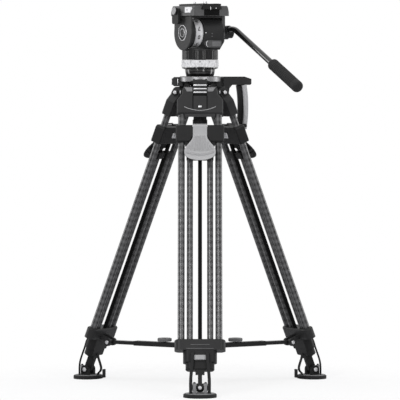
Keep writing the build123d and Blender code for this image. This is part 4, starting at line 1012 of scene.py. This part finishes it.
# %% Base ribs and bush
PAN_R, PAN_TALL, RIB_OUT, RIB_ROOT = 44.5, 24.0, 0.7, 1.5
BASE_RIBS, BASE_DEEP = 32, 0.4
sleeve = [(PAN_R - RIB_ROOT, 1.0), (PAN_R + RIB_OUT, 1.6), (PAN_R + RIB_OUT, PAN_TALL / 2),
          (PAN_R + RIB_OUT, PAN_TALL - 1.0), (PAN_R - RIB_ROOT, PAN_TALL), (PAN_R - RIB_ROOT, 1.0)]
bm = knurl(lathe(sleeve, 8 * BASE_RIBS), BASE_RIBS, BASE_DEEP, 1.5, PAN_TALL - 0.9, PAN_R)
settle(bm, "pan_base_ribs", PAN, SATIN, "head")

BAND_R, BAND_H, ARCH = 50.5, 13.0, 5.5
BAND = axes_at((0, AXIS_Y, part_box("crown")[1][2]), EAST, UP)
bm = lathe([(BAND_R - 1.0, -BAND_H), (BAND_R + 0.9, -BAND_H), (BAND_R + 0.9, -2.0), (BAND_R - 0.6, -0.6),
            (BAND_R - 1.0, -BAND_H)], 180)
for vert in bm.verts:
    if vert.co.z < 1 - BAND_H:
        around = math.atan2(vert.co.y, vert.co.x) + math.pi / 2
        vert.co.z += ARCH * max(0, math.cos(len(LEGS) * around))
settle(bm, "crown_band", BAND, DULL_METAL, "crown")

PORT_X, PORT_Z, LINE_X, LINE_FRONT = -0.070, 0.7585, -0.0555, 0.0121
PORT = axes_at((PORT_X, AXIS_Y, PORT_Z), UP, (-1, 0, 0))
bush = [(4.9, -3), (8.6, -3), (8.6, 0.6), (8.0, 1.0), (5.6, 1.0), (4.9, 0.4), (4.9, -3)]
settle(lathe(bush, 48), "port_bush", PORT, SILVER, "crown")
line = axes_at((LINE_X, AXIS_Y - LINE_FRONT, PORT_Z), EAST, UP)
settle(block((1.6, 1.2, 15), 0.4, 2), "port_line", line, PALE_METAL, "crown")
print(BASE_RIBS, "base ribs, band", BAND_H, "mm tall")

# %% [markdown]
# Under the bowl a black shank joins the tie-down knob to the cup, so that no thread shows.

# %% Tie-down shank
KNOB_LOW, KNOB_HIGH = (corner[2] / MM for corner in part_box("tie_down_knob"))
SHANK = axes_at((0, AXIS_Y, KNOB_HIGH * MM), EAST, UP)
SHANK_TEETH, SHANK_DEEP = 20, 0.8
profile = [(8.5, -0.4), (16.0, -0.4), (16.5, 1.0), (16.5, 7.0), (15.0, 10.0), (8.5, 10.0), (8.5, -0.4)]
shank = knurl(lathe(profile, 6 * SHANK_TEETH), SHANK_TEETH, SHANK_DEEP, 0.9, 7.1, 16.2)
settle(shank, "tie_down_shank", SHANK, MOULDED, "tie_down")
print("knob from", KNOB_LOW, "to", KNOB_HIGH)

# %% [markdown]
# Photographs of such things for a catalogue are lit by large soft boxes on a white sweep. The floor is
# pale and matt, so that it keeps a faint shadow. To the camera alone it is mostly clear, so the white
# behind it shows through, and so do feet that are pushed out below it.

# %% Floor
FLOOR_HALF, FLOOR_CLOUDS, FLOOR_ROUGH = 6.0, 3.0, 0.9
FLOOR_CLEAR, SHADE_NEAR, SHADE_FAR = 0.8, 0.35, 0.8
WHITE = (1, 1, 1, 1)
bm = bmesh.new()
bmesh.ops.create_grid(bm, x_segments=1, y_segments=1, size=FLOOR_HALF)
floor_data = bpy.data.meshes.new("floor")
bm.to_mesh(floor_data)
bm.free()
floor = bpy.data.objects.new("floor", floor_data)
SCENE.collection.objects.link(floor)
pale = Finish("pale_floor", Specular_IOR_Level=0.1)
cloud = pale.grain(pale.place(), FLOOR_CLOUDS)
pale.feed("Base Color", pale.blend(cloud, grey(0.88), grey(0.92)))
pale.feed("Roughness", FLOOR_ROUGH + (cloud - 0.5) * 0.1)
clear = pale.node("ShaderNodeBsdfTransparent", Color=WHITE)
lit = Value(pale.tree, pale.shader.outputs["BSDF"])
away = pale.node("ShaderNodeVectorMath", {"operation": "LENGTH"}, output=1, _0=pale.place())
fade = pale.node("ShaderNodeMapRange", {"interpolation_type": "SMOOTHSTEP"}, _0=away, _1=SHADE_NEAR,
                 _2=SHADE_FAR, _3=FLOOR_CLEAR, _4=1.0)
share = pale.node("ShaderNodeLightPath") * fade
both = pale.node("ShaderNodeMixShader", _0=share, _1=lit, _2=clear)
plug(both, pale.tree.nodes["Material Output"].inputs["Surface"])
floor_data.materials.append(pale.material)
print("floor", 2 * FLOOR_HALF, "m wide")

# %% [markdown]
# The background is plain white for the camera and in reflections. As a light it is a soft grey, so
# that the soft boxes still shape the black parts.

# %% World
SKY_LEVEL, SKY_LIGHT = 0.6, 0.4
world = bpy.data.worlds.new("studio")
world.use_nodes = True
SCENE.world = world
sky = Graph(world.node_tree)
sky.tree.nodes.remove(sky.tree.nodes["Background"])
rays = sky.node("ShaderNodeLightPath").socket.node.outputs
seen = Value(sky.tree, rays["Is Camera Ray"])
for label in ("Is Glossy Ray", "Is Transmission Ray"):
    seen = seen.math("MAXIMUM", seen, Value(sky.tree, rays[label]))
soft = sky.node("ShaderNodeBackground", Color=grey(SKY_LEVEL), Strength=SKY_LIGHT)
white = sky.node("ShaderNodeBackground", Color=WHITE, Strength=1.0)
mixed = sky.node("ShaderNodeMixShader", _0=seen, _1=soft, _2=white)
plug(mixed, sky.tree.nodes["World Output"].inputs["Surface"])
print("world", world.name)

# %% [markdown]
# Two tall soft boxes stand in front, a broad one hangs above, and a narrow one on each side draws the
# bright edges. The lens is long and far away, which keeps upright edges upright. At the tripod the
# picture is one metre wide.

# %% Lamps and camera
MIDDLE = Vector((0, AXIS_Y, 0.5))
EYE_FAR, EYE_Z, AIM_Z, SENSOR, CLIP_FAR = 8.4, 0.8, 0.4625, 36.0, 100.0


def facing(holder, spot, towards):
    """Put a lamp or a camera in the scene, looking along a direction."""
    holder.location = spot
    holder.rotation_euler = towards.to_track_quat("-Z", "Y").to_euler()
    SCENE.collection.objects.link(holder)


def softbox(name, spot, size, power):
    lamp = bpy.data.lights.new(name, "AREA")
    lamp.shape = "RECTANGLE"
    lamp.size, lamp.size_y = size
    lamp.energy = power
    facing(bpy.data.objects.new(name, lamp), spot, MIDDLE - Vector(spot))


softbox("key", (-0.9, AXIS_Y - 2.2, 1.5), (0.5, 1.6), 30)
softbox("fill", (1.1, AXIS_Y - 2.1, 1.1), (0.3, 1.6), 16)
softbox("top", (0, AXIS_Y - 0.3, 2.4), (1.6, 1.0), 15)
for word, side in {"left": -1, "right": 1}.items():
    softbox(f"edge_{word}", (side * 1.5, AXIS_Y + 0.3, 0.8), (0.4, 1.6), 9)
lens = bpy.data.cameras.new("camera")
lens.lens, lens.sensor_width, lens.clip_end = SENSOR * EYE_FAR, SENSOR, CLIP_FAR
camera = bpy.data.objects.new("camera", lens)
facing(camera, (0, AXIS_Y - EYE_FAR, EYE_Z), Vector((0, EYE_FAR, AIM_Z - EYE_Z)))
SCENE.camera = camera
SCENE.view_settings.view_transform = "Standard"
print("camera at", tuple(camera.location))
